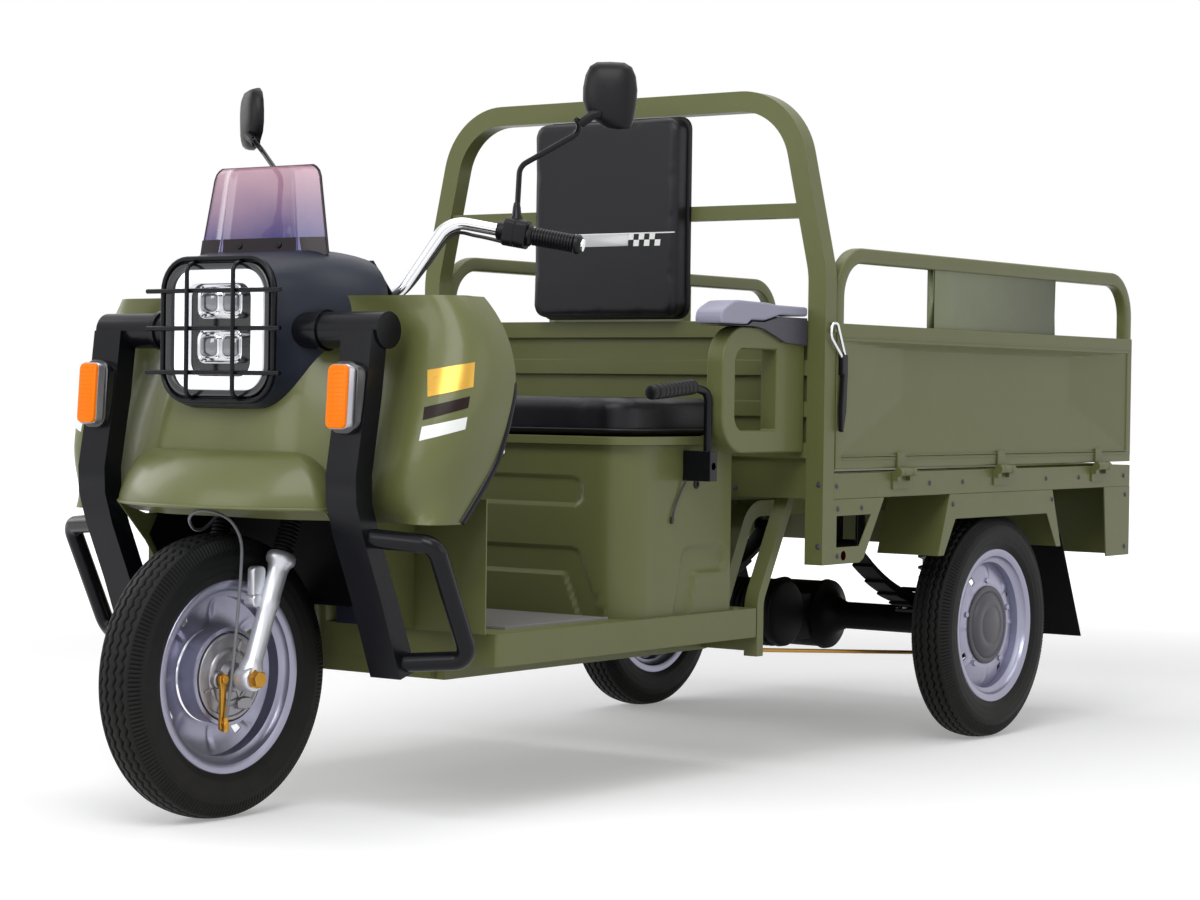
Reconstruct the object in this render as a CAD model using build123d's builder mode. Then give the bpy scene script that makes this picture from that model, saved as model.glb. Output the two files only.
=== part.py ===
"""Electric cargo tricycle: one steered front wheel, an open footboard, a bench seat over the
battery box, a roll hoop and a drop-side load bed over the rear axle.

Millimetres. +X is the vehicle's left, +Y its rear, +Z up. Stations are distances behind the
front axle; the origin is on the floor, midway along the vehicle, on its centre line.
"""
import os
from math import cos, radians, sin, sqrt, tan

from build123d import *

# ---------------------------------------------------------------- driving dimensions
wheel_base = 1890.0
rear_track = 890.0
tyre_radius = 242.5
tyre_width = 90.0
rim_flange_radius = 163.0
rim_half_width = 37.0
bead_radius = 152.0
rim_sheet = 3.0

hoop_station = 1163.0       # middle of the hoop tube
hoop_depth = 40.0
hoop_tube = 40.0
hoop_height = 1328.0
hoop_knee = 970.0
hoop_top_half = 427.0       # where the leaning legs would meet the top tube
crossbar_height = 1105.0
crossbar_depth = 30.0

bed_half_width = 502.5
bed_overhang = 614.0        # load bed behind the rear axle
bed_front = hoop_station + hoop_depth / 2
bed_rear = wheel_base + bed_overhang
bed_base = 581.0            # top of the bed frame
skirt_low = 404.0           # lower edge of side plates, fenders and hoop legs
valance_low = 372.0
bed_wall = 30.0             # depth of a pressed gate
gate_height = 292.0
gate_rail_height = 442.0
gate_border = 26.0          # pressed edge round a gate's pocket
gate_skin = 4.0
gate_top = bed_base + gate_height
rail_top = bed_base + gate_rail_height
hinge_offset = 14.0         # gate hinge pins stand this far outside the panels
hinge_pin = 5.0
hinge_knuckle = 9.0
pin_gap = 0.05
frame_depth = 50.0
floor_sheet = 3.0

rake = 21.2                 # degrees
fork_offset = 37.0
fork_half_spacing = 78.0
fork_leg_radius = 17.0
steering_stem_radius = 14.0
head_tube_radius = 30.0
head_tube_low = 398.0       # distances along the steering axis
head_tube_high = 640.0

foot_half_width = 400.0
foot_front = 266.0
foot_rear = 1075.0
foot_top = 320.0
foot_beam = 56.0

seat_half_width = 385.0
seat_front = 655.0
seat_rear = 1000.0
seat_box_top = 636.0
seat_pan_depth = 15.0
seat_pan_overhang = 14.0
cushion_height = 72.0

shield_sheet = 3.0
sheet = 2.5
clearance = 5.0
plate_hole_radius = 3.5

front_overhang = tyre_radius
rear_overhang = bed_rear + 12.0
mid_station = (rear_overhang - front_overhang) / 2

axle_height = tyre_radius
wheel_x = rear_track / 2


def at(station):
    """Model Y of a place given by its station behind the front axle."""
    return station - mid_station


def spot(x, station, z):
    return (x, at(station), z)


def save(builder, name):
    builder.part.label = name
    export_step(builder.part, f"parts/{name}.step")


def across(x):
    """A sketching plane square to X, with its own x along +Y and its own y along +Z."""
    return Plane(origin=(x, 0, 0), x_dir=(0, 1, 0), z_dir=(1, 0, 0))


def facing_front(station):
    """A sketching plane square to Y, with its own x along +X and its own y along +Z."""
    return Plane(origin=(0, at(station), 0), x_dir=(1, 0, 0), z_dir=(0, -1, 0))


def run_tube(points, radii, section):
    """Sweep a section along straight runs joined by tangent arcs."""
    with BuildLine() as route:
        if len(points) > 2:
            FilletPolyline(*points, radius=radii)
        else:
            Line(*points)
    wire = route.wires()[0]
    start = wire @ 0
    heading = wire % 0
    sideways = Vector(1, 0, 0) if abs(heading.X) < 0.9 else Vector(0, 1, 0)
    with BuildSketch(Plane(origin=start, x_dir=heading.cross(sideways), z_dir=heading)) as profile:
        section()
    sweep(profile.sketch, path=wire)


def round_tube(points, radii, radius):
    run_tube(points, radii, lambda: Circle(radius))


def box_tube(points, radii, across_run, along_x):
    """Rectangular tube in a plane square to X or Y: across_run lies in the plane of the bends."""
    run_tube(points, radii, lambda: Rectangle(across_run, along_x))


def block(x0, x1, s0, s1, z0, z1, mode=Mode.ADD):
    """A box between two x values, two stations and two heights."""
    with Locations(((x0 + x1) / 2, at((s0 + s1) / 2), (z0 + z1) / 2)):
        Box(x1 - x0, s1 - s0, z1 - z0, mode=mode)


def side_sheet(x0, x1, points, mode=Mode.ADD):
    """Extrude an outline of (station, height) points between two x values."""
    with BuildSketch(across(x0)) as outline:
        with BuildLine():
            Polyline(*[(at(s), z) for s, z in points], close=True)
        make_face()
    extrude(outline.sketch, amount=x1 - x0, mode=mode)


os.makedirs("parts", exist_ok=True)

# ---------------------------------------------------------------- steering axis
axle_y = at(0)
steer_up = Vector(0, sin(radians(rake)), cos(radians(rake)))
steer_back = Vector(0, cos(radians(rake)), -sin(radians(rake)))
steer_foot = Vector(0, axle_y, axle_height) + steer_back * fork_offset
steer_plane = Plane(origin=steer_foot, x_dir=(1, 0, 0), z_dir=steer_up)


def up_fork(distance):
    """The steering plane moved up along the steering axis."""
    return steer_plane.offset(distance)


# ---------------------------------------------------------------- wheels
def wheel_section(x):
    """The plane of a wheel's half section: its own x along the axle, its own y outwards."""
    return Plane(origin=(x, axle_place, axle_height), x_dir=(1, 0, 0), z_dir=(0, -1, 0))


def tyre_solid(x):
    """Revolve a 12 inch light-truck tyre about an axle along X."""
    crown = tyre_radius
    half = tyre_width / 2
    bead = rim_half_width - rim_sheet
    widest = rim_flange_radius + 29
    shoulder = crown - 16.5
    with BuildSketch(wheel_section(x)) as profile:
        with BuildLine():
            Polyline((-bead, rim_flange_radius), (-bead, bead_radius), (bead, bead_radius),
                     (bead, rim_flange_radius))
            Spline((bead, rim_flange_radius), (half, widest), (half - 6, shoulder), (half - 18, crown - 4),
                   tangents=[(0.4, 1), (-1, 0.42)])
            ThreePointArc((half - 18, crown - 4), (0, crown), (-half + 18, crown - 4))
            Spline((-half + 18, crown - 4), (-half + 6, shoulder), (-half, widest),
                   (-bead, rim_flange_radius), tangents=[(-1, -0.42), (0.4, -1)])
        make_face()
    revolve(profile.sketch, axis=Axis((x, axle_place, axle_height), (1, 0, 0)))


def rim_solid(x, face, hub_radius, hub_inner, hub_outer, bore):
    """Pressed wheel: flanges, barrel, dished disc and hub. face is +1 or -1, the outer side."""
    flange = rim_flange_radius
    width = rim_half_width
    with BuildSketch(wheel_section(x)) as profile:
        with BuildLine():
            Polyline((-width, flange), (-width + 3, flange), (-width + 3, bead_radius - 0.5),
                     (width - 3, bead_radius - 0.5), (width - 3, flange), (width, flange),
                     (width, bead_radius - 6), (width - 12, bead_radius - 9),
                     (width - 16, bead_radius - 18), (-width + 16, bead_radius - 18),
                     (-width + 12, bead_radius - 9), (-width, bead_radius - 6), close=True)
        make_face()
        with BuildLine():
            Polyline((face * 2, bead_radius - 16), (face * 8, bead_radius - 16),
                     (face * 16, 105), (face * 12, hub_radius - 2), (face * 6, hub_radius - 2),
                     (face * 10, 105), close=True)
        make_face()
        with BuildLine():
            Polyline((hub_inner, bore), (hub_outer, bore), (hub_outer, hub_radius),
                     (hub_inner, hub_radius), close=True)
        make_face()
    revolve(profile.sketch, axis=Axis((x, axle_place, axle_height), (1, 0, 0)))


def disc_slots(x, count, radius):
    """Ventilation slots through the wheel disc."""
    with BuildSketch(Plane(origin=(x, axle_place, axle_height), x_dir=(0, 1, 0),
                           z_dir=(1, 0, 0))) as slots:
        with PolarLocations(radius, count):
            SlotOverall(26, 11, rotation=90)
    extrude(slots.sketch, amount=30, both=True, mode=Mode.SUBTRACT)


axle_bore = 10.0
axle_running_gap = 0.05
drum_radius = 82.0

axle_place = axle_y
with BuildPart() as front_tyre:
    tyre_solid(0)
save(front_tyre, "front_tyre")

front_hub_half = 34.0
brake_recess = 22.0
with BuildPart() as front_rim:
    rim_solid(0, -1, drum_radius, -front_hub_half, front_hub_half, axle_bore)
    disc_slots(0, 8, 112)
    with BuildSketch(Plane(origin=(front_hub_half, axle_y, axle_height), x_dir=(0, 1, 0),
                           z_dir=(1, 0, 0))):
        Circle(drum_radius - 5)
    extrude(amount=-brake_recess, mode=Mode.SUBTRACT)
save(front_rim, "front_rim")

with BuildPart() as front_brake_plate:
    plate_plane = Plane(origin=(front_hub_half - 8, axle_y, axle_height), x_dir=(0, 1, 0),
                        z_dir=(1, 0, 0))
    with BuildSketch(plate_plane):
        Circle(drum_radius - 8)
    extrude(amount=11)
    with BuildSketch(plate_plane.offset(11)):
        Circle(26)
    extrude(amount=14, taper=12)
    arm_station = -34.0
    block(front_hub_half + 3, front_hub_half + 15, arm_station - 9, arm_station + 9,
          axle_height - 16, axle_height + 2)
    block(front_hub_half + 15, front_hub_half + 20, arm_station - 8, arm_station + 8,
          axle_height - 88, axle_height + 2)
    block(front_hub_half + 20, front_hub_half + 30, arm_station - 5, arm_station + 5,
          axle_height - 84, axle_height - 74)
    with BuildSketch(plate_plane.offset(-20)):
        Circle(axle_bore - axle_running_gap)
    extrude(amount=60, mode=Mode.SUBTRACT)
save(front_brake_plate, "front_brake_plate")

wheel_face = {"left": 1, "right": -1}
hub_cap_radius = 84.0
cap_dome = 12.0
cap_sphere = (hub_cap_radius ** 2 + cap_dome ** 2) / (2 * cap_dome)
cap_half_out = 20 + cap_dome - cap_sphere + sqrt(cap_sphere ** 2 - (hub_cap_radius / 2) ** 2)
axle_place = at(wheel_base)
for side, face in wheel_face.items():
    centre = face * wheel_x
    with BuildPart() as rear_tyre:
        tyre_solid(centre)
    save(rear_tyre, f"rear_{side}_tyre")

    with BuildPart() as rear_rim:
        rim_solid(centre, face, 58, min(-face * 20, face * 12), max(-face * 20, face * 12),
                  axle_bore)
        disc_slots(centre, 8, 112)
    save(rear_rim, f"rear_{side}_rim")

    with BuildPart() as hub_cap:
        with BuildSketch(Plane(origin=(centre, axle_place, axle_height), x_dir=(face, 0, 0),
                               z_dir=(0, -face, 0))) as cap_profile:
            with BuildLine():
                Polyline((12.2, 0), (12.2, 56), (16.5, 60), (16.5, hub_cap_radius),
                         (20, hub_cap_radius))
                ThreePointArc((20, hub_cap_radius), (cap_half_out, hub_cap_radius / 2),
                              (20 + cap_dome, 0))
                Line((20 + cap_dome, 0), (12.2, 0))
            make_face()
        revolve(cap_profile.sketch, axis=Axis((centre, axle_place, axle_height), (1, 0, 0)))
    save(hub_cap, f"rear_{side}_hub_cap")

# ---------------------------------------------------------------- front fork and controls
lug_top = 344.0             # along the steering axis: underside of the bridge
bridge_depth = 34.0
stem_length = 330.0
with BuildPart() as fork_legs:
    for x in (-fork_half_spacing, fork_half_spacing):
        with BuildSketch(up_fork(-14)):
            with Locations((x, -fork_offset)):
                Circle(fork_leg_radius)
        extrude(amount=lug_top + 14)
        with BuildSketch(up_fork(210)):
            with Locations((x, -fork_offset)):
                Circle(fork_leg_radius + 9)
        extrude(amount=14)
    with BuildSketch(Plane(origin=(0, axle_y, axle_height), x_dir=(0, 1, 0), z_dir=(1, 0, 0))):
        Circle(axle_bore)
    extrude(amount=fork_half_spacing + 30, both=True, mode=Mode.SUBTRACT)
save(fork_legs, "fork_legs")

with BuildPart() as front_axle:
    shaft_plane = Plane(origin=(0, axle_y, axle_height), x_dir=(0, 1, 0), z_dir=(1, 0, 0))
    with BuildSketch(shaft_plane):
        Circle(axle_bore - axle_running_gap)
    extrude(amount=fork_half_spacing + fork_leg_radius + 3, both=True)
    for end in (-1, 1):
        with BuildSketch(shaft_plane.offset(end * (fork_half_spacing + fork_leg_radius + 3))):
            RegularPolygon(15, 6)
        extrude(amount=end * 10)
save(front_axle, "front_axle")

with BuildPart() as steering_column:
    with BuildSketch(up_fork(lug_top)):
        Circle(head_tube_radius + 3)
        with Locations((-fork_half_spacing, -fork_offset), (fork_half_spacing, -fork_offset)):
            Circle(fork_leg_radius + 6)
        make_hull()
    extrude(amount=bridge_depth)
    with BuildSketch(up_fork(lug_top + bridge_depth - 4)):
        Circle(steering_stem_radius)
    extrude(amount=stem_length)
    with BuildSketch(up_fork(lug_top + bridge_depth)):
        Circle(head_tube_radius - 4)
    extrude(amount=head_tube_low - lug_top - bridge_depth - clearance)
save(steering_column, "steering_column")

bar_radius = 11.0
clamp_half = 42.0
grip_radius = 16.5
bar_rise = spot(135, 303, 892)
bar_peak = spot(190, 380, 1032)
bar_hand = spot(262, 440, 1016)
bar_end = spot(398, 500, 990)


def mirrored(point):
    return (-point[0], point[1], point[2])


with BuildPart() as handlebar:
    round_tube([mirrored(bar_end), mirrored(bar_hand), mirrored(bar_peak), mirrored(bar_rise),
                bar_rise, bar_peak, bar_hand, bar_end], [50, 50, 42, 42, 50, 50], bar_radius)
    block(-clamp_half, clamp_half, 303 - 26, 303 + 26, 892 - 24, 892 + 24)
    add(steering_column.part, mode=Mode.SUBTRACT)
save(handlebar, "handlebar")

hand_direction = (Vector(bar_end) - Vector(bar_hand)).normalized()


def hand_plane(sign, distance):
    """A plane square to the hand grip, a distance outboard of the bend, on one side."""
    place = Vector(bar_hand) + hand_direction * distance
    heading = Vector(sign * hand_direction.X, hand_direction.Y, hand_direction.Z)
    return Plane(origin=(sign * place.X, place.Y, place.Z), x_dir=(0, 0, 1), z_dir=heading)


switch_start = 6.0
switch_length = 42.0
grip_length = 96.0
with BuildPart() as grips_and_switches:
    for sign in (-1, 1):
        with BuildSketch(hand_plane(sign, switch_start + switch_length + 1)):
            Circle(grip_radius)
            Circle(bar_radius + 0.2, mode=Mode.SUBTRACT)
        extrude(amount=grip_length)
        with BuildSketch(hand_plane(sign, switch_start)):
            RectangleRounded(50, 46, 12)
            Circle(bar_radius + 0.2, mode=Mode.SUBTRACT)
        extrude(amount=switch_length)
save(grips_and_switches, "grips_and_switches")

mirror_centre = spot(430, 528, 1254)
mirror_width = 128.0
mirror_height = 118.0
with BuildPart() as mirrors:
    for sign in (-1, 1):
        foot = Vector(hand_plane(sign, switch_start + switch_length / 2).origin)
        foot = Vector(foot.X, foot.Y, foot.Z + 27)
        round_tube([(foot.X, foot.Y, foot.Z), spot(sign * 286, 458, 1130),
                    spot(sign * 392, 512, 1196), spot(sign * 424, 522, 1212)], [24, 24], 5)
        with BuildSketch(Plane(origin=(sign * mirror_centre[0], mirror_centre[1] - 14,
                                       mirror_centre[2]), x_dir=(1, 0, 0), z_dir=(0, 1, 0))):
            RectangleRounded(mirror_width * 0.72, mirror_height * 0.78, 30)
        with BuildSketch(Plane(origin=(sign * mirror_centre[0], mirror_centre[1] + 16,
                                       mirror_centre[2]), x_dir=(1, 0, 0), z_dir=(0, 1, 0))):
            RectangleRounded(mirror_width, mirror_height, 34)
        loft()
save(mirrors, "mirrors")

# ---------------------------------------------------------------- frame
rail_x = 250.0
rail_width = 40.0
rail_height = 56.0
rear_rail_top = bed_base - frame_depth
foot_rail_top = foot_top - foot_beam
step_x = 385.0
step_rear = foot_rear + 11
with BuildPart() as main_frame:
    with BuildSketch(up_fork(head_tube_low)):
        Circle(head_tube_radius)
    extrude(amount=head_tube_high - head_tube_low)
    down_tube_top = steer_foot + steer_up * (head_tube_high - 40) + steer_back * 10
    down_tube_knee = steer_foot + steer_up * (head_tube_low - 20) + steer_back * 98
    round_tube([tuple(down_tube_top), tuple(down_tube_knee), spot(0, 292, 262)], [60], 24)
    block(-rail_x, rail_x, foot_front + 4, foot_front + 50, foot_rail_top - 30, foot_rail_top)
    for x in (-rail_x, rail_x):
        box_tube([spot(x, foot_front + 20, foot_rail_top - 16), spot(x, 1120, foot_rail_top - 16),
                  spot(x, 1250, rear_rail_top - 28), spot(x, bed_rear - 60, rear_rail_top - 28)],
                 [60, 60], 32, rail_width)
    for station in (foot_rear - 60, 1300, wheel_base - 250, wheel_base + 290, bed_rear - 90):
        low = foot_rail_top - 30 if station < 1100 else rear_rail_top - 42
        block(-rail_x, rail_x, station - 16, station + 16, low, low + 28)
    for x in (-step_x, step_x):
        box_tube([spot(x, step_rear, foot_top - 94), spot(x, step_rear, foot_top + 15),
                  spot(x, bed_front + 22, bed_base - 30)], [70], 22, 30)
    block(-step_x, step_x, step_rear - 10, step_rear + 10, foot_rail_top - 28, foot_rail_top)
    block(-step_x - 20, step_x + 20, bed_front - 33, bed_front + 57, rear_rail_top, bed_base,
          mode=Mode.SUBTRACT)
    with BuildSketch(up_fork(head_tube_low - 20)):
        Circle(steering_stem_radius + 0.3)
    extrude(amount=head_tube_high - head_tube_low + 60, mode=Mode.SUBTRACT)
    with BuildSketch(up_fork(head_tube_low - 60)):
        Circle(head_tube_radius + 2)
    extrude(amount=60 - 2, mode=Mode.SUBTRACT)
    add(steering_column.part, mode=Mode.SUBTRACT)
save(main_frame, "main_frame")

with BuildPart() as footboard:
    block(-foot_half_width, foot_half_width, foot_front, foot_rear, foot_top - 4, foot_top)
    for sign in (-1, 1):
        x0, x1 = sorted((sign * (foot_half_width - 28), sign * foot_half_width))
        block(x0, x1, foot_front, foot_rear, foot_top - foot_beam, foot_top)
    block(-foot_half_width, foot_half_width, foot_front, foot_front + 24, foot_top - foot_beam,
          foot_top)
    block(-foot_half_width, foot_half_width, foot_rear - 24, foot_rear, foot_top - foot_beam,
          foot_top)
    fillet(footboard.edges().filter_by(Axis.Z).group_by(Axis.X)[-1], radius=6)
    add(main_frame.part, mode=Mode.SUBTRACT)
save(footboard, "footboard")

# ---------------------------------------------------------------- load bed
bed_beams = (bed_front + 317, wheel_base - 47, wheel_base + 290)
with BuildPart() as bed_frame:
    beam = 40.0
    block(-bed_half_width, bed_half_width, bed_front, bed_rear, rear_rail_top, bed_base)
    block(-bed_half_width + beam, bed_half_width - beam, bed_front + beam, bed_rear - beam,
          rear_rail_top, bed_base, mode=Mode.SUBTRACT)
    for station in bed_beams:
        block(-bed_half_width + beam, bed_half_width - beam, station - 20, station + 20,
              rear_rail_top, bed_base)
save(bed_frame, "bed_frame")

floor_top = bed_base + floor_sheet
with BuildPart() as bed_floor:
    inner = bed_half_width - bed_wall - clearance
    block(-inner, inner, bed_front, bed_rear - bed_wall - clearance, bed_base, floor_top)
save(bed_floor, "bed_floor")

catch_station = hoop_station + 3
catch_height = gate_top - 15
latch_x = bed_half_width + 6.5
with BuildPart() as hoop:
    leg_x = bed_half_width - hoop_tube / 2
    top_x = hoop_top_half - hoop_tube / 2
    top_z = hoop_height - hoop_tube / 2
    box_tube([spot(-leg_x, hoop_station, skirt_low), spot(-leg_x, hoop_station, hoop_knee),
              spot(-top_x, hoop_station, top_z), spot(top_x, hoop_station, top_z),
              spot(leg_x, hoop_station, hoop_knee), spot(leg_x, hoop_station, skirt_low)],
             [180, 134, 134, 180], hoop_tube, hoop_depth)
    crossbar_half = bed_half_width - 62.5
    block(-crossbar_half, crossbar_half, hoop_station - crossbar_depth / 2,
          hoop_station + crossbar_depth / 2, crossbar_height - 28, crossbar_height)
    for sign in (-1, 1):
        with BuildSketch(across(sign * (bed_half_width - 2))) as peg:
            with Locations((at(catch_station), catch_height)):
                Circle(4)
        extrude(peg.sketch, amount=sign * 12)
save(hoop, "hoop")

headboard_top = gate_top + 4
rib_depth = 12.0
panel_sheet = 4.0
rib_heights = ((headboard_top - 33, headboard_top), (770, 800), (690, 720), (610, 640))
with BuildPart() as headboard:
    inside = bed_half_width - hoop_tube
    front = hoop_station - hoop_depth / 2
    back = front + rib_depth + panel_sheet
    block(-inside, inside, front + rib_depth, back, rear_rail_top, headboard_top)
    for low, high in rib_heights:
        block(-inside, inside, front, back, low, high)
    block(-inside, inside, back, front + hoop_depth, headboard_top - 33, headboard_top)
    block(-inside, inside, back, front + hoop_depth, rear_rail_top, bed_base)
save(headboard, "headboard")

gate_rear = bed_rear
rail_tube = 30.0
gate_base = bed_base + floor_sheet + clearance
gate_ends = {"left": 1, "right": -1}
hinge_stations = (bed_front + 254, wheel_base - 27, bed_rear - 173)
sign_panel = (wheel_base - 314, wheel_base + 231)
rail_rise = rail_top - rail_tube / 2 - gate_top + 4
rail_bend = min(85.0, 0.62 * rail_rise)


def hinge_plane(place, outward):
    """A plane square to a hinge pin: its own x points outwards and its own y up."""
    return Plane(origin=place, x_dir=outward, z_dir=Vector(outward).cross(Vector(0, 0, 1)))


def fixed_knuckles(plane, reach, pin, knuckle, half_gap, half_length, depth):
    """The carrier's side of a hinge: a pin held by an ear at each end, on a plate."""
    with BuildSketch(plane) as pin_profile:
        Circle(pin)
    extrude(pin_profile.sketch, amount=half_length, both=True)
    for side in (-1, 1):
        with BuildSketch(plane.offset(side * half_gap)) as ear:
            Circle(knuckle)
            with Locations((-reach / 2, -knuckle)):
                Rectangle(reach, 2 * knuckle)
        extrude(ear.sketch, amount=side * (half_length - half_gap))
    with BuildSketch(plane) as plate:
        with Locations((-reach + 2, -(depth + 2 * knuckle) / 2)):
            Rectangle(4, depth)
    extrude(plate.sketch, amount=half_length, both=True)


def moving_knuckle(plane, reach, pin, knuckle, rise, height, half_length):
    """The moving side of a hinge: a bored knuckle on a strap that rises up the panel's face."""
    with BuildSketch(plane) as strap:
        Circle(knuckle)
        with BuildLine():
            Polyline((-reach, rise), (-reach, height), (-reach + 4, height), (-reach + 4, rise + 8),
                     (-0.2 * knuckle, 0.97 * knuckle), (-0.75 * knuckle, 0.45 * knuckle), close=True)
        make_face()
        Circle(pin + pin_gap, mode=Mode.SUBTRACT)
    extrude(strap.sketch, amount=half_length, both=True)


knuckle_half = 16.0
ear_gap = 17.0
ear_end = 32.0
strap_height = 40.0


def gate_pin(sign, station):
    return hinge_plane(spot(sign * (bed_half_width + hinge_offset), station, bed_base),
                       (sign, 0, 0))


def tail_pin(x):
    return hinge_plane(spot(x, bed_rear + hinge_offset, bed_base), (0, 1, 0))


tail_hinge_x = 300.0
side_gates = {}
for side, sign in gate_ends.items():
    with BuildPart() as side_gate:
        inner_face = sign * (bed_half_width - bed_wall)
        outer_face = sign * bed_half_width
        x0, x1 = sorted((inner_face, outer_face))
        front = bed_front + clearance
        block(x0, x1, front, gate_rear, gate_base, gate_top)
        pocket_x = sorted((inner_face, outer_face - sign * gate_skin))
        block(pocket_x[0], pocket_x[1], front + gate_border, gate_rear - gate_border,
              gate_base + gate_border, gate_top - gate_border - 8, mode=Mode.SUBTRACT)
        middle_x = sign * (bed_half_width - bed_wall / 2)
        rail_front = front + rail_tube / 2
        rail_back = gate_rear - rail_tube / 2
        rail_middle = rail_top - rail_tube / 2
        box_tube([spot(middle_x, rail_front, gate_top - 4), spot(middle_x, rail_front, rail_middle),
                  spot(middle_x, rail_back, rail_middle), spot(middle_x, rail_back, gate_top - 4)],
                 [rail_bend, rail_bend], rail_tube, bed_wall - 4)
        sign_x = sorted((outer_face - sign * 10, outer_face - sign * 7))
        block(sign_x[0], sign_x[1], sign_panel[0], sign_panel[1], gate_top, rail_top - rail_tube)
        for station in hinge_stations:
            moving_knuckle(gate_pin(sign, station), hinge_offset, hinge_pin, hinge_knuckle,
                           gate_base - bed_base, strap_height, knuckle_half)
    side_gates[side] = side_gate.part
    save(side_gate, f"{side}_side_gate")

with BuildPart() as tailgate:
    half = bed_half_width - bed_wall - clearance
    block(-half, half, bed_rear - bed_wall, bed_rear, gate_base, gate_top)
    block(-half + gate_border, half - gate_border, bed_rear - bed_wall, bed_rear - gate_skin,
          gate_base + gate_border, gate_top - gate_border - 8, mode=Mode.SUBTRACT)
    for x in (-tail_hinge_x, tail_hinge_x):
        moving_knuckle(tail_pin(x), hinge_offset, hinge_pin, hinge_knuckle, gate_base - bed_base,
                       strap_height, knuckle_half)
save(tailgate, "tailgate")

with BuildPart() as side_skirts:
    for sign in (-1, 1):
        x0, x1 = sorted((sign * (bed_half_width - 3), sign * bed_half_width))
        side_sheet(x0, x1, [(bed_front, skirt_low), (bed_front + 102, skirt_low),
                            (bed_front + 117, skirt_low + 8), (bed_front + 195, rear_rail_top),
                            (bed_front, rear_rail_top)])
        window_low = skirt_low + 33
        window_high = rear_rail_top - 33
        side_sheet(x0, x1, [(bed_front + 13, window_low), (bed_front + 99, window_low),
                            (bed_front + 143, window_high), (bed_front + 13, window_high)],
                   mode=Mode.SUBTRACT)
save(side_skirts, "side_skirts")

with BuildPart() as rear_valance:
    for sign in (-1, 1):
        x0, x1 = sorted((sign * (bed_half_width - 3), sign * bed_half_width))
        side_sheet(x0, x1, [(bed_rear - 119, valance_low), (bed_rear, valance_low),
                            (bed_rear, rear_rail_top), (bed_rear - 134, rear_rail_top)])
    block(-bed_half_width + 3, bed_half_width - 3, bed_rear - 3, bed_rear, valance_low,
          rear_rail_top)
    with BuildSketch(facing_front(bed_rear - 4)):
        with Locations((-60, valance_low + 78), (60, valance_low + 78)):
            Circle(plate_hole_radius)
    extrude(amount=-10, mode=Mode.SUBTRACT)
save(rear_valance, "rear_valance")

fender_inner = 356.0
fender_band = 52.0


def fender_side(lower, upper, height):
    """A fender's outline: half lengths at its lower edge and at its top, either side of the axle."""
    return [(wheel_base - lower[0], skirt_low), (wheel_base - upper[0], height),
            (wheel_base + upper[1], height), (wheel_base + lower[1], skirt_low)]


with BuildPart() as rear_fenders:
    for sign in (-1, 1):
        x0, x1 = sorted((sign * fender_inner, sign * bed_half_width))
        side_sheet(x0, x1, fender_side((290, 266), (244, 222), rear_rail_top))
        x2, x3 = sorted((sign * (fender_inner - 1), sign * (bed_half_width - sheet)))
        side_sheet(x2, x3, fender_side((287, 263), (241, 219), rear_rail_top - sheet),
                   mode=Mode.SUBTRACT)
        x4, x5 = sorted((sign * (bed_half_width - 6), sign * (bed_half_width + 1)))
        side_sheet(x4, x5, fender_side((266, 244), (218, 196), rear_rail_top - fender_band),
                   mode=Mode.SUBTRACT)
save(rear_fenders, "rear_fenders")

with BuildPart() as mud_flaps:
    for sign in (-1, 1):
        x0, x1 = sorted((sign * (fender_inner + 14), sign * (bed_half_width - 2)))
        flap_top = wheel_base + 266.5
        side_sheet(x0, x1, [(flap_top, skirt_low + 26), (flap_top + 4.5, skirt_low + 26),
                            (flap_top + 113.5, 196), (flap_top + 108.5, 196)])
save(mud_flaps, "mud_flaps")

with BuildPart() as tail_lamps:
    for sign in (-1, 1):
        x0, x1 = sorted((sign * 330, sign * 460))
        block(x0, x1, bed_rear, bed_rear + 12, valance_low + 38, valance_low + 98)
save(tail_lamps, "tail_lamps")

# ---------------------------------------------------------------- rear axle and springs
axle_tube_radius = 30.0
spring_x = 300.0
with BuildPart() as rear_axle:
    axle_plane = Plane(origin=(0, at(wheel_base), axle_height), x_dir=(0, 1, 0), z_dir=(1, 0, 0))
    with BuildSketch(axle_plane):
        Circle(axle_tube_radius)
    extrude(amount=wheel_x - 62, both=True)
    with BuildSketch(axle_plane):
        Circle(axle_bore - axle_running_gap)
    extrude(amount=wheel_x + 10, both=True)
    with BuildSketch(axle_plane.offset(-70)):
        Circle(78)
    extrude(amount=140)
    for sign in (-1, 1):
        with BuildSketch(axle_plane.offset(sign * (wheel_x - 62))):
            Circle(80)
        extrude(amount=sign * 14)
save(rear_axle, "rear_axle")

motor_radius = 74.0
motor_station = wheel_base - 200
with BuildPart() as drive_motor:
    with BuildSketch(Plane(origin=(-120, at(motor_station), axle_height + 14), x_dir=(0, 1, 0),
                           z_dir=(1, 0, 0))):
        Circle(motor_radius)
    extrude(amount=200)
    block(-60, 60, motor_station + 50, wheel_base - 70, axle_height - 50, axle_height + 50)
    add(rear_axle.part, mode=Mode.SUBTRACT)
save(drive_motor, "drive_motor")

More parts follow.
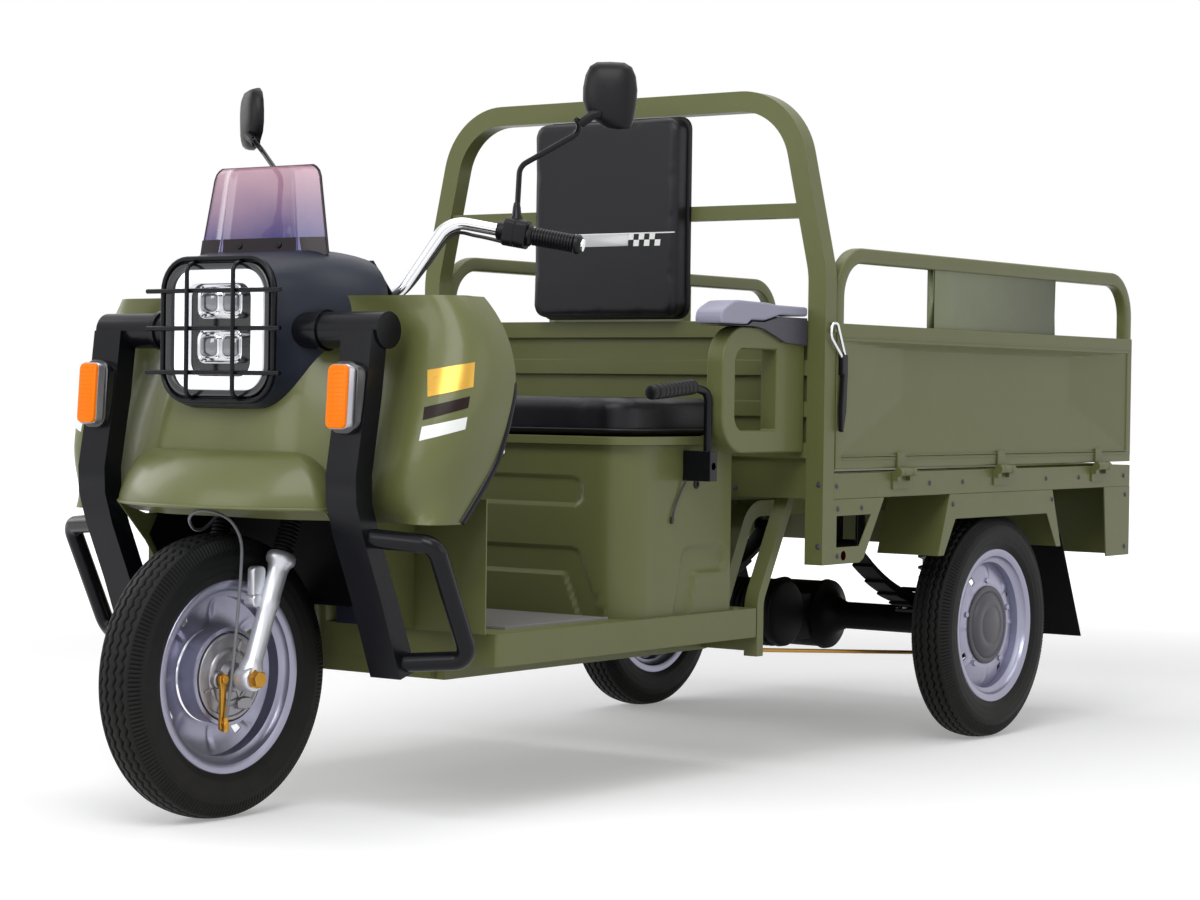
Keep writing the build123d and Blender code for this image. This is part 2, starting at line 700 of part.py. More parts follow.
spring_front = wheel_base - 310
spring_rear = wheel_base + 310
spring_low = axle_height + axle_tube_radius + 1
spring_eye = rear_rail_top - 121
with BuildPart() as leaf_springs:
    for sign in (-1, 1):
        x0, x1 = sorted((sign * (spring_x - 25), sign * (spring_x + 25)))
        with BuildSketch(across(x0)):
            with BuildLine():
                ThreePointArc((at(spring_front), spring_eye), (at(wheel_base), spring_low),
                              (at(spring_rear), spring_eye))
                Line((at(spring_rear), spring_eye), (at(spring_rear), spring_eye + 10))
                ThreePointArc((at(spring_rear), spring_eye + 10),
                              (at(wheel_base), spring_low + 30),
                              (at(spring_front), spring_eye + 10))
                Line((at(spring_front), spring_eye + 10), (at(spring_front), spring_eye))
            make_face()
        extrude(amount=x1 - x0)
        for station in (spring_front, spring_rear):
            block(x0, x1, station - 6, station + 6, spring_eye, rear_rail_top)
save(leaf_springs, "leaf_springs")

shock_x = 334.0
with BuildPart() as shock_absorbers:
    for sign in (-1, 1):
        x = sign * shock_x
        shock_top = spot(x, wheel_base - 47, rear_rail_top + 4)
        shock_neck = spot(x, wheel_base - 38, rear_rail_top - 190)
        round_tube([shock_top, shock_neck], None, 18)
        round_tube([shock_neck, spot(x, wheel_base - 34, axle_height + 20)], None, 8)
    add(bed_frame.part, mode=Mode.SUBTRACT)
    add(rear_axle.part, mode=Mode.SUBTRACT)
save(shock_absorbers, "shock_absorbers")

# ---------------------------------------------------------------- seat
pan_front = seat_front - seat_pan_overhang
seat_corner = 70.0
with BuildPart() as seat_box:
    with BuildSketch(Plane.XY.offset(foot_top)):
        with Locations((0, at((seat_front + seat_rear) / 2))):
            Rectangle(2 * seat_half_width, seat_rear - seat_front)
        fillet(vertices().group_by(Axis.Y)[0], radius=seat_corner)
    extrude(amount=seat_box_top - foot_top)
    offset(amount=-sheet, openings=seat_box.faces().sort_by(Axis.Z)[-1])
save(seat_box, "seat_box")

with BuildPart() as battery_pack:
    block(-260, 260, seat_front + 50, seat_rear - 40, foot_top + sheet, foot_top + 210)
save(battery_pack, "battery_pack")

pan_base = seat_box_top + 1
seat_hinge_x = 220.0
seat_hinge_reach = 8.0
seat_pin = 3.0
seat_knuckle = 5.5


def seat_pin_plane(x):
    return hinge_plane(spot(x, seat_rear + seat_hinge_reach, seat_box_top - 2), (0, 1, 0))


with BuildPart() as fixed_hinges:
    hinge_planes = [gate_pin(sign, station) for sign in (-1, 1) for station in hinge_stations]
    for plane in hinge_planes + [tail_pin(-tail_hinge_x), tail_pin(tail_hinge_x)]:
        fixed_knuckles(plane, hinge_offset, hinge_pin, hinge_knuckle, ear_gap, ear_end, 26)
    for x in (-seat_hinge_x, seat_hinge_x):
        fixed_knuckles(seat_pin_plane(x), seat_hinge_reach, seat_pin, seat_knuckle, ear_gap,
                       ear_end, 18)
save(fixed_hinges, "fixed_hinges")

with BuildPart() as seat_pan:
    with BuildSketch(Plane.XY.offset(pan_base)):
        with Locations((0, at((pan_front + seat_rear) / 2))):
            Rectangle(2 * (seat_half_width + seat_pan_overhang), seat_rear - pan_front)
        fillet(vertices().group_by(Axis.Y)[0], radius=seat_corner)
    extrude(amount=seat_pan_depth)
    for x in (-seat_hinge_x, seat_hinge_x):
        moving_knuckle(seat_pin_plane(x), seat_hinge_reach, seat_pin, seat_knuckle,
                       pan_base - seat_box_top + 2, seat_pan_depth, knuckle_half)
save(seat_pan, "seat_pan")

cushion_base = pan_base + seat_pan_depth
with BuildPart() as seat_cushion:
    with BuildSketch(Plane.XY.offset(cushion_base)):
        with Locations((0, at((pan_front + 14 + seat_rear - 6) / 2))):
            Rectangle(2 * seat_half_width - 10, seat_rear - 6 - pan_front - 14)
        fillet(vertices(), radius=55)
    extrude(amount=cushion_height)
    fillet(seat_cushion.edges().group_by(Axis.Z)[-1], radius=22)
save(seat_cushion, "seat_cushion")

backrest_half = 184.0
backrest_low = 880.0
backrest_top = 1286.0
backrest_depth = 49.0
crossbar_front = hoop_station - crossbar_depth / 2
with BuildPart() as backrest:
    with BuildSketch(facing_front(crossbar_front)):
        with Locations((0, (backrest_low + backrest_top) / 2)):
            RectangleRounded(2 * backrest_half, backrest_top - backrest_low, 28)
    extrude(amount=backrest_depth)
    fillet(backrest.edges().group_by(Axis.Y)[0], radius=12)
save(backrest, "backrest")

armrest_outer = seat_half_width + 72
armrest_depth = 38.0
armrest_front = 880.0
armrest_low = 643.0
armrest_high = 839.0
armrest_rear = hoop_station - hoop_depth / 2
armrest_post = armrest_rear - 99
armrest_tube = 42.0
with BuildPart() as armrest_frames:
    for sign in (-1, 1):
        x = sign * (armrest_outer - armrest_depth / 2)
        box_tube([spot(x, armrest_rear, armrest_high), spot(x, armrest_front, armrest_high),
                  spot(x, armrest_front, armrest_low), spot(x, armrest_rear, armrest_low)],
                 [50, 50], armrest_tube, armrest_depth)
        x0, x1 = sorted((x - armrest_depth / 2, x + armrest_depth / 2))
        block(x0, x1, armrest_post, armrest_rear, armrest_low - armrest_tube / 2,
              armrest_high + armrest_tube / 2)
    add(hoop.part, mode=Mode.SUBTRACT)
    add(headboard.part, mode=Mode.SUBTRACT)
save(armrest_frames, "armrest_frames")

with BuildPart() as armrest_pads:
    for sign in (-1, 1):
        x0, x1 = sorted((sign * (armrest_outer - 52), sign * (armrest_outer + 10)))
        top = armrest_high + armrest_tube / 2 + 0.3
        pad_rear = armrest_rear - 3
        side_sheet(x0, x1, [(838, top), (838, top + 20), (armrest_front, top + 48),
                            (1000, top + 46), (pad_rear, top + 42), (pad_rear, top)])
save(armrest_pads, "armrest_pads")

lever_x = seat_half_width + 47
with BuildPart() as parking_brake_lever:
    grip_back = spot(lever_x, 800, 745)
    round_tube([spot(lever_x, 660, 733), grip_back], None, 14)
    round_tube([grip_back, spot(lever_x, 848, 735), spot(lever_x, 848, 620)], [20], 8)
    block(seat_half_width, lever_x + 14, 836, 860, 570, 626)
save(parking_brake_lever, "parking_brake_lever")

# ---------------------------------------------------------------- crash bars
pillar_x = 292.0
pillar_width = 66.0
pillar_depth = 40.0
bar_height = 830.0
bar_station = 60.0
bar_half_length = 329.0
crash_bar_radius = 31.0
loop_tube = 32.0
collar_x = 190.0
with BuildPart() as front_crash_bar:
    with BuildSketch(across(-bar_half_length)):
        with Locations((at(bar_station), bar_height)):
            Circle(crash_bar_radius)
    extrude(amount=2 * bar_half_length)
    for x in (-collar_x, collar_x):
        with BuildSketch(across(x)) as collar:
            with Locations((at(bar_station), bar_height)):
                Circle(crash_bar_radius + 4)
        extrude(collar.sketch, amount=5, both=True)
    for sign in (-1, 1):
        x0, x1 = sorted((sign * (pillar_x - pillar_width / 2), sign * (pillar_x + pillar_width / 2)))
        pillar = [(22, 830), (8, 715), (-14, 590), (-12, 545), (6, 490), (50, 390), (104, 250),
                  (144, 262), (92, 390), (48, 490), (28, 545), (26, 590), (48, 715), (62, 830)]
        side_sheet(x0, x1, pillar)
        x = sign * (pillar_x + pillar_width / 2)
        corner_low = spot(sign * 428, 160, 286)
        corner_top = spot(sign * 428, 66, 480)
        round_tube([spot(sign * pillar_x, 112, 275), corner_low, corner_top,
                    spot(sign * pillar_x, 26, 490)], [26, 26], loop_tube / 2)
save(front_crash_bar, "front_crash_bar")

with BuildPart() as turn_lamps:
    for sign in (-1, 1):
        x0, x1 = sorted((sign * 262, sign * 322))
        side_sheet(x0, x1, [(-32, 660), (-24, 780), (15.5, 780), (0.3, 660)])
    add(front_crash_bar.part, mode=Mode.SUBTRACT)
save(turn_lamps, "turn_lamps")

# ---------------------------------------------------------------- front body
shield_sections = {
    512: [(0, 24), (150, 26), (230, 66), (300, 84), (362, 70), (396, 60), (422, 72), (430, 100),
          (428, 128)],
    600: [(0, 14), (150, 14), (230, 52), (300, 70), (364, 52), (406, 56), (436, 86), (446, 130),
          (444, 192)],
    740: [(0, 40), (150, 44), (230, 96), (300, 112), (356, 92), (410, 96), (444, 124), (456, 170),
          (454, 236)],
    890: [(0, 96), (150, 98), (230, 112), (300, 118), (340, 120), (366, 130), (386, 150), (394, 178),
          (392, 226)],
}


def shield_outline(section, height, inset, behind):
    """Plan outline of the leg shield at a height, drawn in from its skin, and run on behind it."""
    half = [(max(x - inset, 0), s + inset) for x, s in shield_sections[section]]
    right = [(-x, s) for x, s in reversed(half)]
    points = [(x, at(s)) for x, s in right[:-1] + half]
    rear = points[-1][1] + behind
    with BuildSketch(Plane.XY.offset(height)) as outline:
        with BuildLine():
            Spline(*points)
            Polyline(points[-1], (points[-1][0], rear), (points[0][0], rear), points[0])
        make_face()
    return outline.sketch


def shield_inside(behind):
    """The space inside the leg shield's skin, run on behind it and out through its lower edge."""
    inner_heights = {512: 511, 600: 600, 740: 740, 890: 890 - shield_sheet}
    loft([shield_outline(section, height, shield_sheet, behind)
          for section, height in inner_heights.items()])


# cowl sections: station, half width, lowest and highest point, corner radius
cowl_sections = [(2, 133, 703, 953, 58), (48, 150, 698, 961, 70), (110, 200, 735, 968, 88),
                 (165, 236, 800, 956, 70)]


def cowl_solid(inset):
    """The headlamp cowl's rounded sections lofted from front to rear, drawn in from its skin."""
    faces = []
    for station, half, low, high, corner in cowl_sections:
        with BuildSketch(facing_front(station)) as section:
            with Locations((0, (low + high) / 2)):
                RectangleRounded(2 * (half - inset), high - low - 2 * inset, corner - inset)
        faces.append(section.sketch)
    loft(faces)


lamp_half_width = 122.0
lamp_low = 716.0
lamp_high = 944.0
lamp_corner = 50.0
lamp_front = -6.0
lamp_rear = 24.0


def lamp_outline(station, grow):
    """The headlamp's rounded square at a station, made larger all round."""
    with BuildSketch(facing_front(station)) as outline:
        with Locations((0, (lamp_low + lamp_high) / 2)):
            RectangleRounded(2 * (lamp_half_width + grow), lamp_high - lamp_low + 2 * grow,
                             lamp_corner + grow)
    return outline.sketch


# construction solids that neighbouring panels are cut by; they aren't pieces of the vehicle
with BuildPart() as cowl_space:
    cowl_solid(shield_sheet)
with BuildPart() as cowl_bulk:
    cowl_solid(-0.5)
with BuildPart() as shield_space:
    shield_inside(60)
with BuildPart() as shield_bulk:
    loft([shield_outline(height, height, -0.5, 200) for height in shield_sections])

with BuildPart() as headlamp_cowl:
    cowl_solid(0)
    with Locations((0, 1, 0)):
        add(cowl_space.part, mode=Mode.SUBTRACT)
    extrude(lamp_outline(lamp_rear + 20, 0.5), amount=60, mode=Mode.SUBTRACT)
    add(front_crash_bar.part, mode=Mode.SUBTRACT)
save(headlamp_cowl, "headlamp_cowl")

with BuildPart() as headlamp:
    extrude(lamp_outline(lamp_rear, 0), amount=lamp_rear - lamp_front)
    fillet(headlamp.edges().group_by(Axis.Y)[0], radius=9)
save(headlamp, "headlamp")

with BuildPart() as leg_shield:
    loft([shield_outline(height, height, 0, 4) for height in shield_sections])
    add(shield_space.part, mode=Mode.SUBTRACT)
    add(cowl_bulk.part, mode=Mode.SUBTRACT)
    add(headlamp.part, mode=Mode.SUBTRACT)
    add(front_crash_bar.part, mode=Mode.SUBTRACT)
save(leg_shield, "leg_shield")

guard_wire = 4.0
guard_front = -22.0
guard_station = -15.0
with BuildPart() as lamp_guard:
    for height in (757, 832, 896):
        round_tube([spot(-156, guard_station, height), spot(156, guard_station, height)], None,
                   guard_wire)
    for x in (-54, 54):
        round_tube([spot(x, 14, 708), spot(x, guard_front, 718), spot(x, guard_front, 938),
                    spot(x, 14, 950)], [14, 14], guard_wire)
    add(headlamp_cowl.part, mode=Mode.SUBTRACT)
    add(headlamp.part, mode=Mode.SUBTRACT)
save(lamp_guard, "lamp_guard")

screen_sheet = 4.0
screen_station = 105.0
with BuildPart() as windscreen:
    with BuildSketch(facing_front(screen_station)) as screen_outline:
        with BuildLine():
            Polyline((-150, 955), (-111, 1114), (111, 1114), (150, 955), close=True)
        make_face()
        fillet(screen_outline.vertices().group_by(Axis.Z)[-1], radius=26)
    extrude(amount=screen_sheet)
    add(cowl_bulk.part, mode=Mode.SUBTRACT)
save(windscreen, "windscreen")

hood_lip = 530.0
hood_top = 626.0


def hood_outline(height, half, front, corner, inset):
    """Plan of the wheel hood at a height: a bowed front edge and a straight back."""
    with BuildSketch(Plane.XY.offset(height)) as outline:
        with BuildLine():
            ThreePointArc((-half + inset, at(corner)), (0, at(front) + inset),
                          (half - inset, at(corner)))
            Polyline((half - inset, at(corner)), (half - inset, at(95)), (-half + inset, at(95)),
                     (-half + inset, at(corner)))
        make_face()
    return outline.sketch


with BuildPart() as front_hood:
    loft([hood_outline(hood_lip, 240, -90, 2, 0), hood_outline(hood_top, 158, -6, 14, 0)],
         ruled=True)
    loft([hood_outline(hood_lip, 240, -90, 2, shield_sheet),
          hood_outline(hood_top - shield_sheet, 158, -6, 14, shield_sheet)], ruled=True,
         mode=Mode.SUBTRACT)
    add(shield_bulk.part, mode=Mode.SUBTRACT)
save(front_hood, "front_hood")

well_half = 239.0
well_roof = 625.0
well_back = 232.0
with BuildPart() as wheel_well:
    well_side = [(well_back, 352), (well_back, well_roof), (95, well_roof), (95, 505), (75, 470),
                 (125, 392), (150, 352)]
    side_sheet(-well_half, well_half, well_side)
    side_sheet(-well_half + shield_sheet, well_half - shield_sheet,
               [(well_back - shield_sheet, 300), (well_back - shield_sheet, well_roof - shield_sheet),
                (60, well_roof - shield_sheet), (60, 300)], mode=Mode.SUBTRACT)
    with BuildSketch(up_fork(head_tube_low - 40)) as tube_hole:
        Circle(head_tube_radius + clearance)
    extrude(tube_hole.sketch, amount=120, mode=Mode.SUBTRACT)
    add(leg_shield.part, mode=Mode.SUBTRACT)
save(wheel_well, "wheel_well")

cheek_side = [(4, hood_lip - 1), (70, 460), (120, 392), (160, 330), (well_back + 4, 322),
              (well_back + 4, 508), (70, 508)]
with BuildPart() as lower_shields:
    for sign in (-1, 1):
        x0, x1 = sorted((sign * (well_half + 1), sign * (well_half + 4)))
        side_sheet(x0, x1, cheek_side)
        x2, x3 = sorted((sign * (well_half + 1), sign * foot_half_width))
        block(x2, x3, well_back + 1, well_back + 4, foot_top + 2, 550)
    add(leg_shield.part, mode=Mode.SUBTRACT)
    add(front_crash_bar.part, mode=Mode.SUBTRACT)
save(lower_shields, "lower_shields")

tunnel_half = 66.0
tunnel_top = 850.0
panel_half = well_half + 7
panel_front = well_back + 4
panel_top = 886.0
tunnel_inner = [(212, tunnel_top - shield_sheet), (342, tunnel_top - shield_sheet), (333, 600),
                (323, foot_top), (212, foot_top)]
with BuildPart() as inner_shield:
    # knee panels behind the side pods, following their slanted rear edge
    side_sheet(-bed_half_width, bed_half_width,
               [(130, 513), (194, 600), (237, 740), (226, panel_top), (223, panel_top), (234, 740),
                (191, 600), (126, 513)])
    add(shield_space.part, mode=Mode.INTERSECT)
    side_sheet(-panel_half + shield_sheet, panel_half - shield_sheet,
               [(100, 500), (260, 500), (260, panel_top + 4), (100, panel_top + 4)],
               mode=Mode.SUBTRACT)
    for sign in (-1, 1):
        x0, x1 = sorted((sign * (panel_half - shield_sheet), sign * panel_half))
        side_sheet(x0, x1, [(130, 513), (panel_front + 3, 513), (panel_front + 3, 740), (194, 600)])
    # middle panel, with a tunnel over the steering column
    side_sheet(-panel_half, panel_half,
               [(panel_front, foot_top + 2), (panel_front + 3, foot_top + 2), (panel_front + 3, 740),
                (227, panel_top), (224, panel_top), (panel_front, 740)])
    side_sheet(-tunnel_half, tunnel_half,
               [(panel_front, foot_top + 2), (panel_front, 740), (227, tunnel_top),
                (345, tunnel_top), (336, 600), (326, foot_top + 2)])
    side_sheet(-tunnel_half + shield_sheet, tunnel_half - shield_sheet, tunnel_inner,
               mode=Mode.SUBTRACT)
    with BuildSketch(up_fork(head_tube_high - 20)) as stem_hole:
        Circle(steering_stem_radius + clearance)
    extrude(stem_hole.sketch, amount=120, mode=Mode.SUBTRACT)
    add(main_frame.part, mode=Mode.SUBTRACT)
    add(lower_shields.part, mode=Mode.SUBTRACT)
save(inner_shield, "inner_shield")

with BuildPart() as instrument_panel:
    side_sheet(-200, 200, [(168, 952), (224, 893), (221.5, 891), (168, 948)])
    side_sheet(-62, 62, [(172, 962), (214, 918), (206, 911), (172, 947)])
    add(headlamp_cowl.part, mode=Mode.SUBTRACT)
save(instrument_panel, "instrument_panel")

# ---------------------------------------------------------------- brakes
cable_radius = 2.8
cable_route = [spot(-54, 72, 524), spot(-60, 36, 491), spot(-58, 6, 489), spot(-46, -18, 508),
               spot(-18, -27, 522), spot(16, -22, 521), spot(42, -8, 506), spot(55, 3, 472),
               spot(58, 0, 420), spot(59, -6, 365), spot(59, -12, 310), spot(59, -19, 255),
               spot(59.5, -27, 205), spot(59.5, -34, 170)]


def cord_radii(points):
    """The largest tangent arcs that the runs of a cable's route leave room for."""
    radii = []
    for before, corner, after in zip(points, points[1:], points[2:]):
        arriving = Vector(corner) - Vector(before)
        leaving = Vector(after) - Vector(corner)
        turn = radians(arriving.get_angle(leaving))
        radii.append(0.45 * min(arriving.length, leaving.length) / tan(turn / 2))
    return radii


with BuildPart() as front_brake_cable:
    round_tube(cable_route, cord_radii(cable_route), cable_radius)
save(front_brake_cable, "front_brake_cable")

brake_rod_x = 364.0
pedal_x = -250.0
with BuildPart() as rear_brake_linkage:
    for sign in (-1, 1):
        x = sign * brake_rod_x
        rod_front = spot(x, foot_rear + 25, foot_top - 85)
        round_tube([rod_front, spot(x, wheel_base - 40, axle_height - 64.5)], None, 4)
        block(x - 4, x + 4, foot_rear + 17, foot_rear + 29, foot_top - 95, foot_top - 75)
        arm = (wheel_base - 48, wheel_base - 30)
        block(x - 5, x + 5, arm[0], arm[1], axle_height - 74.5, axle_height - 6.5)
        x0, x1 = sorted((x, sign * (wheel_x - 62)))
        block(x0, x1, arm[0], arm[1], axle_height - 42.5, axle_height - 6.5)
    block(pedal_x - 30, pedal_x + 30, 330, 352, foot_top + 58, foot_top + 66)
    round_tube([spot(pedal_x, 341, foot_top + 60), spot(pedal_x, 372, foot_top + 3)], None, 6)
    block(pedal_x - 24, pedal_x + 24, 356, 388, foot_top, foot_top + 5)
    add(footboard.part, mode=Mode.SUBTRACT)
    add(main_frame.part, mode=Mode.SUBTRACT)
save(rear_brake_linkage, "rear_brake_linkage")

# ---------------------------------------------------------------- gate latches
for side, sign in gate_ends.items():
    with BuildPart() as gate_latches:
        x0, x1 = sorted((sign * bed_half_width, sign * (bed_half_width + 12)))
        block(x0, x1, bed_front + 10, bed_front + 30, catch_height - 86, catch_height - 46)
        x2, x3 = sorted((sign * (bed_half_width + 2), sign * (bed_half_width + 13)))
        handle = [(13, -83), (27, -83), (23, -158), (13, -198), (7, -194), (7, -148)]
        side_sheet(x2, x3, [(bed_front + s, catch_height + z) for s, z in handle])
        x = sign * latch_x
        loop_top = catch_height + 14
        loop_foot = catch_height - 52
        round_tube([spot(x, bed_front + 14, loop_foot), spot(x, catch_station - 13, catch_height - 12),
                    spot(x, catch_station - 9, loop_top), spot(x, catch_station + 11, loop_top),
                    spot(x, bed_front + 25, loop_foot)], [16, 9, 9], 3)
        x4, x5 = sorted((sign * (bed_half_width - bed_wall + 2), sign * (bed_half_width - 2)))
        block(x4, x5, gate_rear, gate_rear + 11, gate_top - 35, gate_top - 5)
        add(side_gates[side], mode=Mode.SUBTRACT)
    save(gate_latches, f"{side}_gate_latches")
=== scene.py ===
"""Finishes of the electric cargo tricycle, built round its construction model.

Metres in the finished meshes; the named sizes are millimetres. +X is the vehicle's left, +Y its
rear, +Z up. A station is a distance behind the front axle.
"""
import math

import bmesh
import bpy
import numpy as np
from mathutils import Matrix, Vector
from mathutils.bvhtree import BVHTree


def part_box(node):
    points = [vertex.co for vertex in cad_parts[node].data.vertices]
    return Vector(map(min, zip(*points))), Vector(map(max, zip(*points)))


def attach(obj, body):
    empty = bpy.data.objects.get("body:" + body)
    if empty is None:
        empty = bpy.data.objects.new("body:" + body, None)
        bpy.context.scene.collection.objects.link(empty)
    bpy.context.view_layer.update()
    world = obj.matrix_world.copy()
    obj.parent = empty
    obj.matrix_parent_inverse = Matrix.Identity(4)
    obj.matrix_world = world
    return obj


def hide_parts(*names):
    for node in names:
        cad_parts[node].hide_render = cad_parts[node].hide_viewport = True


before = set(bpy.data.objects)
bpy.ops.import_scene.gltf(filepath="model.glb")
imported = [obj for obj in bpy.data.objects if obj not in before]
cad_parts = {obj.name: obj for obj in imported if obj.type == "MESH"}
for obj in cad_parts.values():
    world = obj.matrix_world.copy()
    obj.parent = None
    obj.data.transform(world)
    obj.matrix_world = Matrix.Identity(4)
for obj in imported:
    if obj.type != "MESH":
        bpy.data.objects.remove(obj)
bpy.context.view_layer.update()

mm = 0.001
tyre_low, tyre_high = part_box("front_tyre")
front_axle = (tyre_low + tyre_high) / 2
scene = bpy.context.scene
both_sides = (("left", 1), ("right", -1))

# Sizes in millimetres: half widths, stations and heights.
axle_height = 242.5
rear_axle = 1890
footboard_top = 320
lamp_height = 830
bed_half = 502.5
gate_front, gate_rear = 1188.0, 2504.0
gate_foot, gate_top = 589.0, 873.0
gate_wall = 30
tailgate_half = 467.5
hinge_height, hinge_offset = 581, 14
backrest_face = 1099.9


def at(station):
    """Y in metres of a place given by its station in millimetres."""
    return front_axle.y + station * mm


def spot(x, station, z):
    return Vector((x * mm, at(station), z * mm))


def spoke(turn):
    """The direction of a turn about the X axis, from the rear upwards."""
    return Vector((0, math.cos(turn), math.sin(turn)))


# ---------------------------------------------------------------- finishes
def tone(red, green, blue):
    """A colour as it is shown, 0 to 255 a channel, as the linear colour that a shader takes."""
    def linear(value):
        value /= 255
        return value / 12.92 if value <= 0.04045 else ((value + 0.055) / 1.055) ** 2.4
    return (linear(red), linear(green), linear(blue), 1.0)


def new_group(name, inputs, outputs):
    tree = bpy.data.node_groups.new(name, "ShaderNodeTree")
    for label, kind, value in inputs:
        socket = tree.interface.new_socket(label, in_out="INPUT", socket_type=kind)
        socket.default_value = value
    for label, kind in outputs:
        tree.interface.new_socket(label, in_out="OUTPUT", socket_type=kind)
    return tree, tree.nodes.new("NodeGroupInput").outputs, tree.nodes.new("NodeGroupOutput").inputs


def add_node(tree, kind, **settings):
    node = tree.nodes.new(kind)
    for name, value in settings.items():
        setattr(node, name, value)
    return node


def feed(tree, node, **sources):
    """Fill a node's inputs, by index (i0, i1 ...): a socket is linked and a number is set."""
    for key, value in sources.items():
        target = node.inputs[int(key[1:])]
        if isinstance(value, bpy.types.NodeSocket):
            tree.links.new(value, target)
        else:
            target.default_value = value
    return node.outputs[0]


def math_node(tree, operation, first, second=0.0, clamp=False):
    return feed(tree, add_node(tree, "ShaderNodeMath", operation=operation, use_clamp=clamp),
                i0=first, i1=second)


def noise_node(tree, place, scale, detail=3.0):
    node = add_node(tree, "ShaderNodeTexNoise")
    feed(tree, node, i0=place, i2=scale, i3=detail)
    return node.outputs["Fac"]


def object_place(tree):
    return tree.nodes.new("ShaderNodeTexCoord").outputs["Object"]


def mix_colours(tree, share, first, second):
    node = add_node(tree, "ShaderNodeMix", data_type="RGBA")
    feed(tree, node, i0=share, i6=first, i7=second)
    return node.outputs[2]


def make_grain_group():
    """Uneven shade, uneven gloss and a fine grain, shared by every finish."""
    tree, given, result = new_group(
        "surface_grain",
        [("Colour", "NodeSocketColor", (0.5, 0.5, 0.5, 1)), ("Shade", "NodeSocketFloat", 0.06),
         ("Roughness", "NodeSocketFloat", 0.4), ("Gloss Shift", "NodeSocketFloat", 0.06),
         ("Grain Scale", "NodeSocketFloat", 300.0)],
        [("Colour", "NodeSocketColor"), ("Roughness", "NodeSocketFloat"),
         ("Height", "NodeSocketFloat")])
    place = object_place(tree)
    broad = math_node(tree, "SUBTRACT", noise_node(tree, place, 7.0), 0.5)
    value = math_node(tree, "ADD", math_node(tree, "MULTIPLY", broad, given["Shade"]), 1.0)
    tint = add_node(tree, "ShaderNodeHueSaturation")
    tree.links.new(value, tint.inputs["Value"])
    tree.links.new(given["Colour"], tint.inputs["Color"])
    tree.links.new(tint.outputs[0], result["Colour"])
    patches = math_node(tree, "SUBTRACT", noise_node(tree, place, 31.0), 0.5)
    shifted = math_node(tree, "MULTIPLY", patches, given["Gloss Shift"])
    gloss = math_node(tree, "ADD", shifted, given["Roughness"], clamp=True)
    tree.links.new(gloss, result["Roughness"])
    tree.links.new(noise_node(tree, place, given["Grain Scale"], 2.0), result["Height"])
    return tree


def make_dust_group():
    """Road dust that thins out with height."""
    tree, given, result = new_group(
        "road_dust",
        [("Colour", "NodeSocketColor", (0.5, 0.5, 0.5, 1)),
         ("Dust", "NodeSocketColor", tone(150, 138, 118)), ("Top", "NodeSocketFloat", 0.5),
         ("Amount", "NodeSocketFloat", 0.15)],
        [("Colour", "NodeSocketColor")])
    place = object_place(tree)
    split = tree.nodes.new("ShaderNodeSeparateXYZ")
    tree.links.new(place, split.inputs[0])
    fade = math_node(tree, "SUBTRACT", 1.0, math_node(tree, "DIVIDE", split.outputs["Z"],
                                                      given["Top"]), clamp=True)
    speckle = math_node(tree, "MULTIPLY", noise_node(tree, place, 22.0, 6.0), 1.4, clamp=True)
    share = math_node(tree, "MULTIPLY", math_node(tree, "MULTIPLY", fade, speckle),
                      given["Amount"], clamp=True)
    tree.links.new(mix_colours(tree, share, given["Colour"], given["Dust"]), result["Colour"])
    return tree


grain_group = make_grain_group()
dust_group = make_dust_group()


def group_node(tree, group):
    node = tree.nodes.new("ShaderNodeGroup")
    node.node_tree = group
    return node


def new_finish(name):
    """A fresh material, with its node tree and its Principled shader."""
    material = bpy.data.materials.new(name)
    material.use_nodes = True
    tree = material.node_tree
    return material, tree, tree.nodes["Principled BSDF"]


def finish_of(name, colour, roughness, shade=0.10, grain=320.0, bump=0.06, dust=0.0, metallic=0.0,
              coat=0.0, glow=0.0, specular=0.5):
    """A Principled finish whose colour, gloss and bump come through the shared groups."""
    material, tree, shader = new_finish(name)
    grains = group_node(tree, grain_group)
    for label, value in (("Colour", tone(*colour)), ("Shade", shade), ("Roughness", roughness),
                         ("Gloss Shift", 0.08), ("Grain Scale", grain)):
        grains.inputs[label].default_value = value
    shown = grains.outputs["Colour"]
    if dust:
        dusty = group_node(tree, dust_group)
        tree.links.new(shown, dusty.inputs["Colour"])
        dusty.inputs["Amount"].default_value = dust
        shown = dusty.outputs["Colour"]
    tree.links.new(shown, shader.inputs["Base Color"])
    tree.links.new(grains.outputs["Roughness"], shader.inputs["Roughness"])
    relief = tree.nodes.new("ShaderNodeBump")
    relief.inputs["Strength"].default_value = bump
    relief.inputs["Distance"].default_value = 0.001
    tree.links.new(grains.outputs["Height"], relief.inputs["Height"])
    tree.links.new(relief.outputs[0], shader.inputs["Normal"])
    for label, value in (("Metallic", metallic), ("Coat Weight", coat), ("Coat Roughness", 0.12),
                         ("Specular IOR Level", specular)):
        shader.inputs[label].default_value = value
    if glow:
        tree.links.new(shown, shader.inputs["Emission Color"])
        shader.inputs["Emission Strength"].default_value = glow
    return material


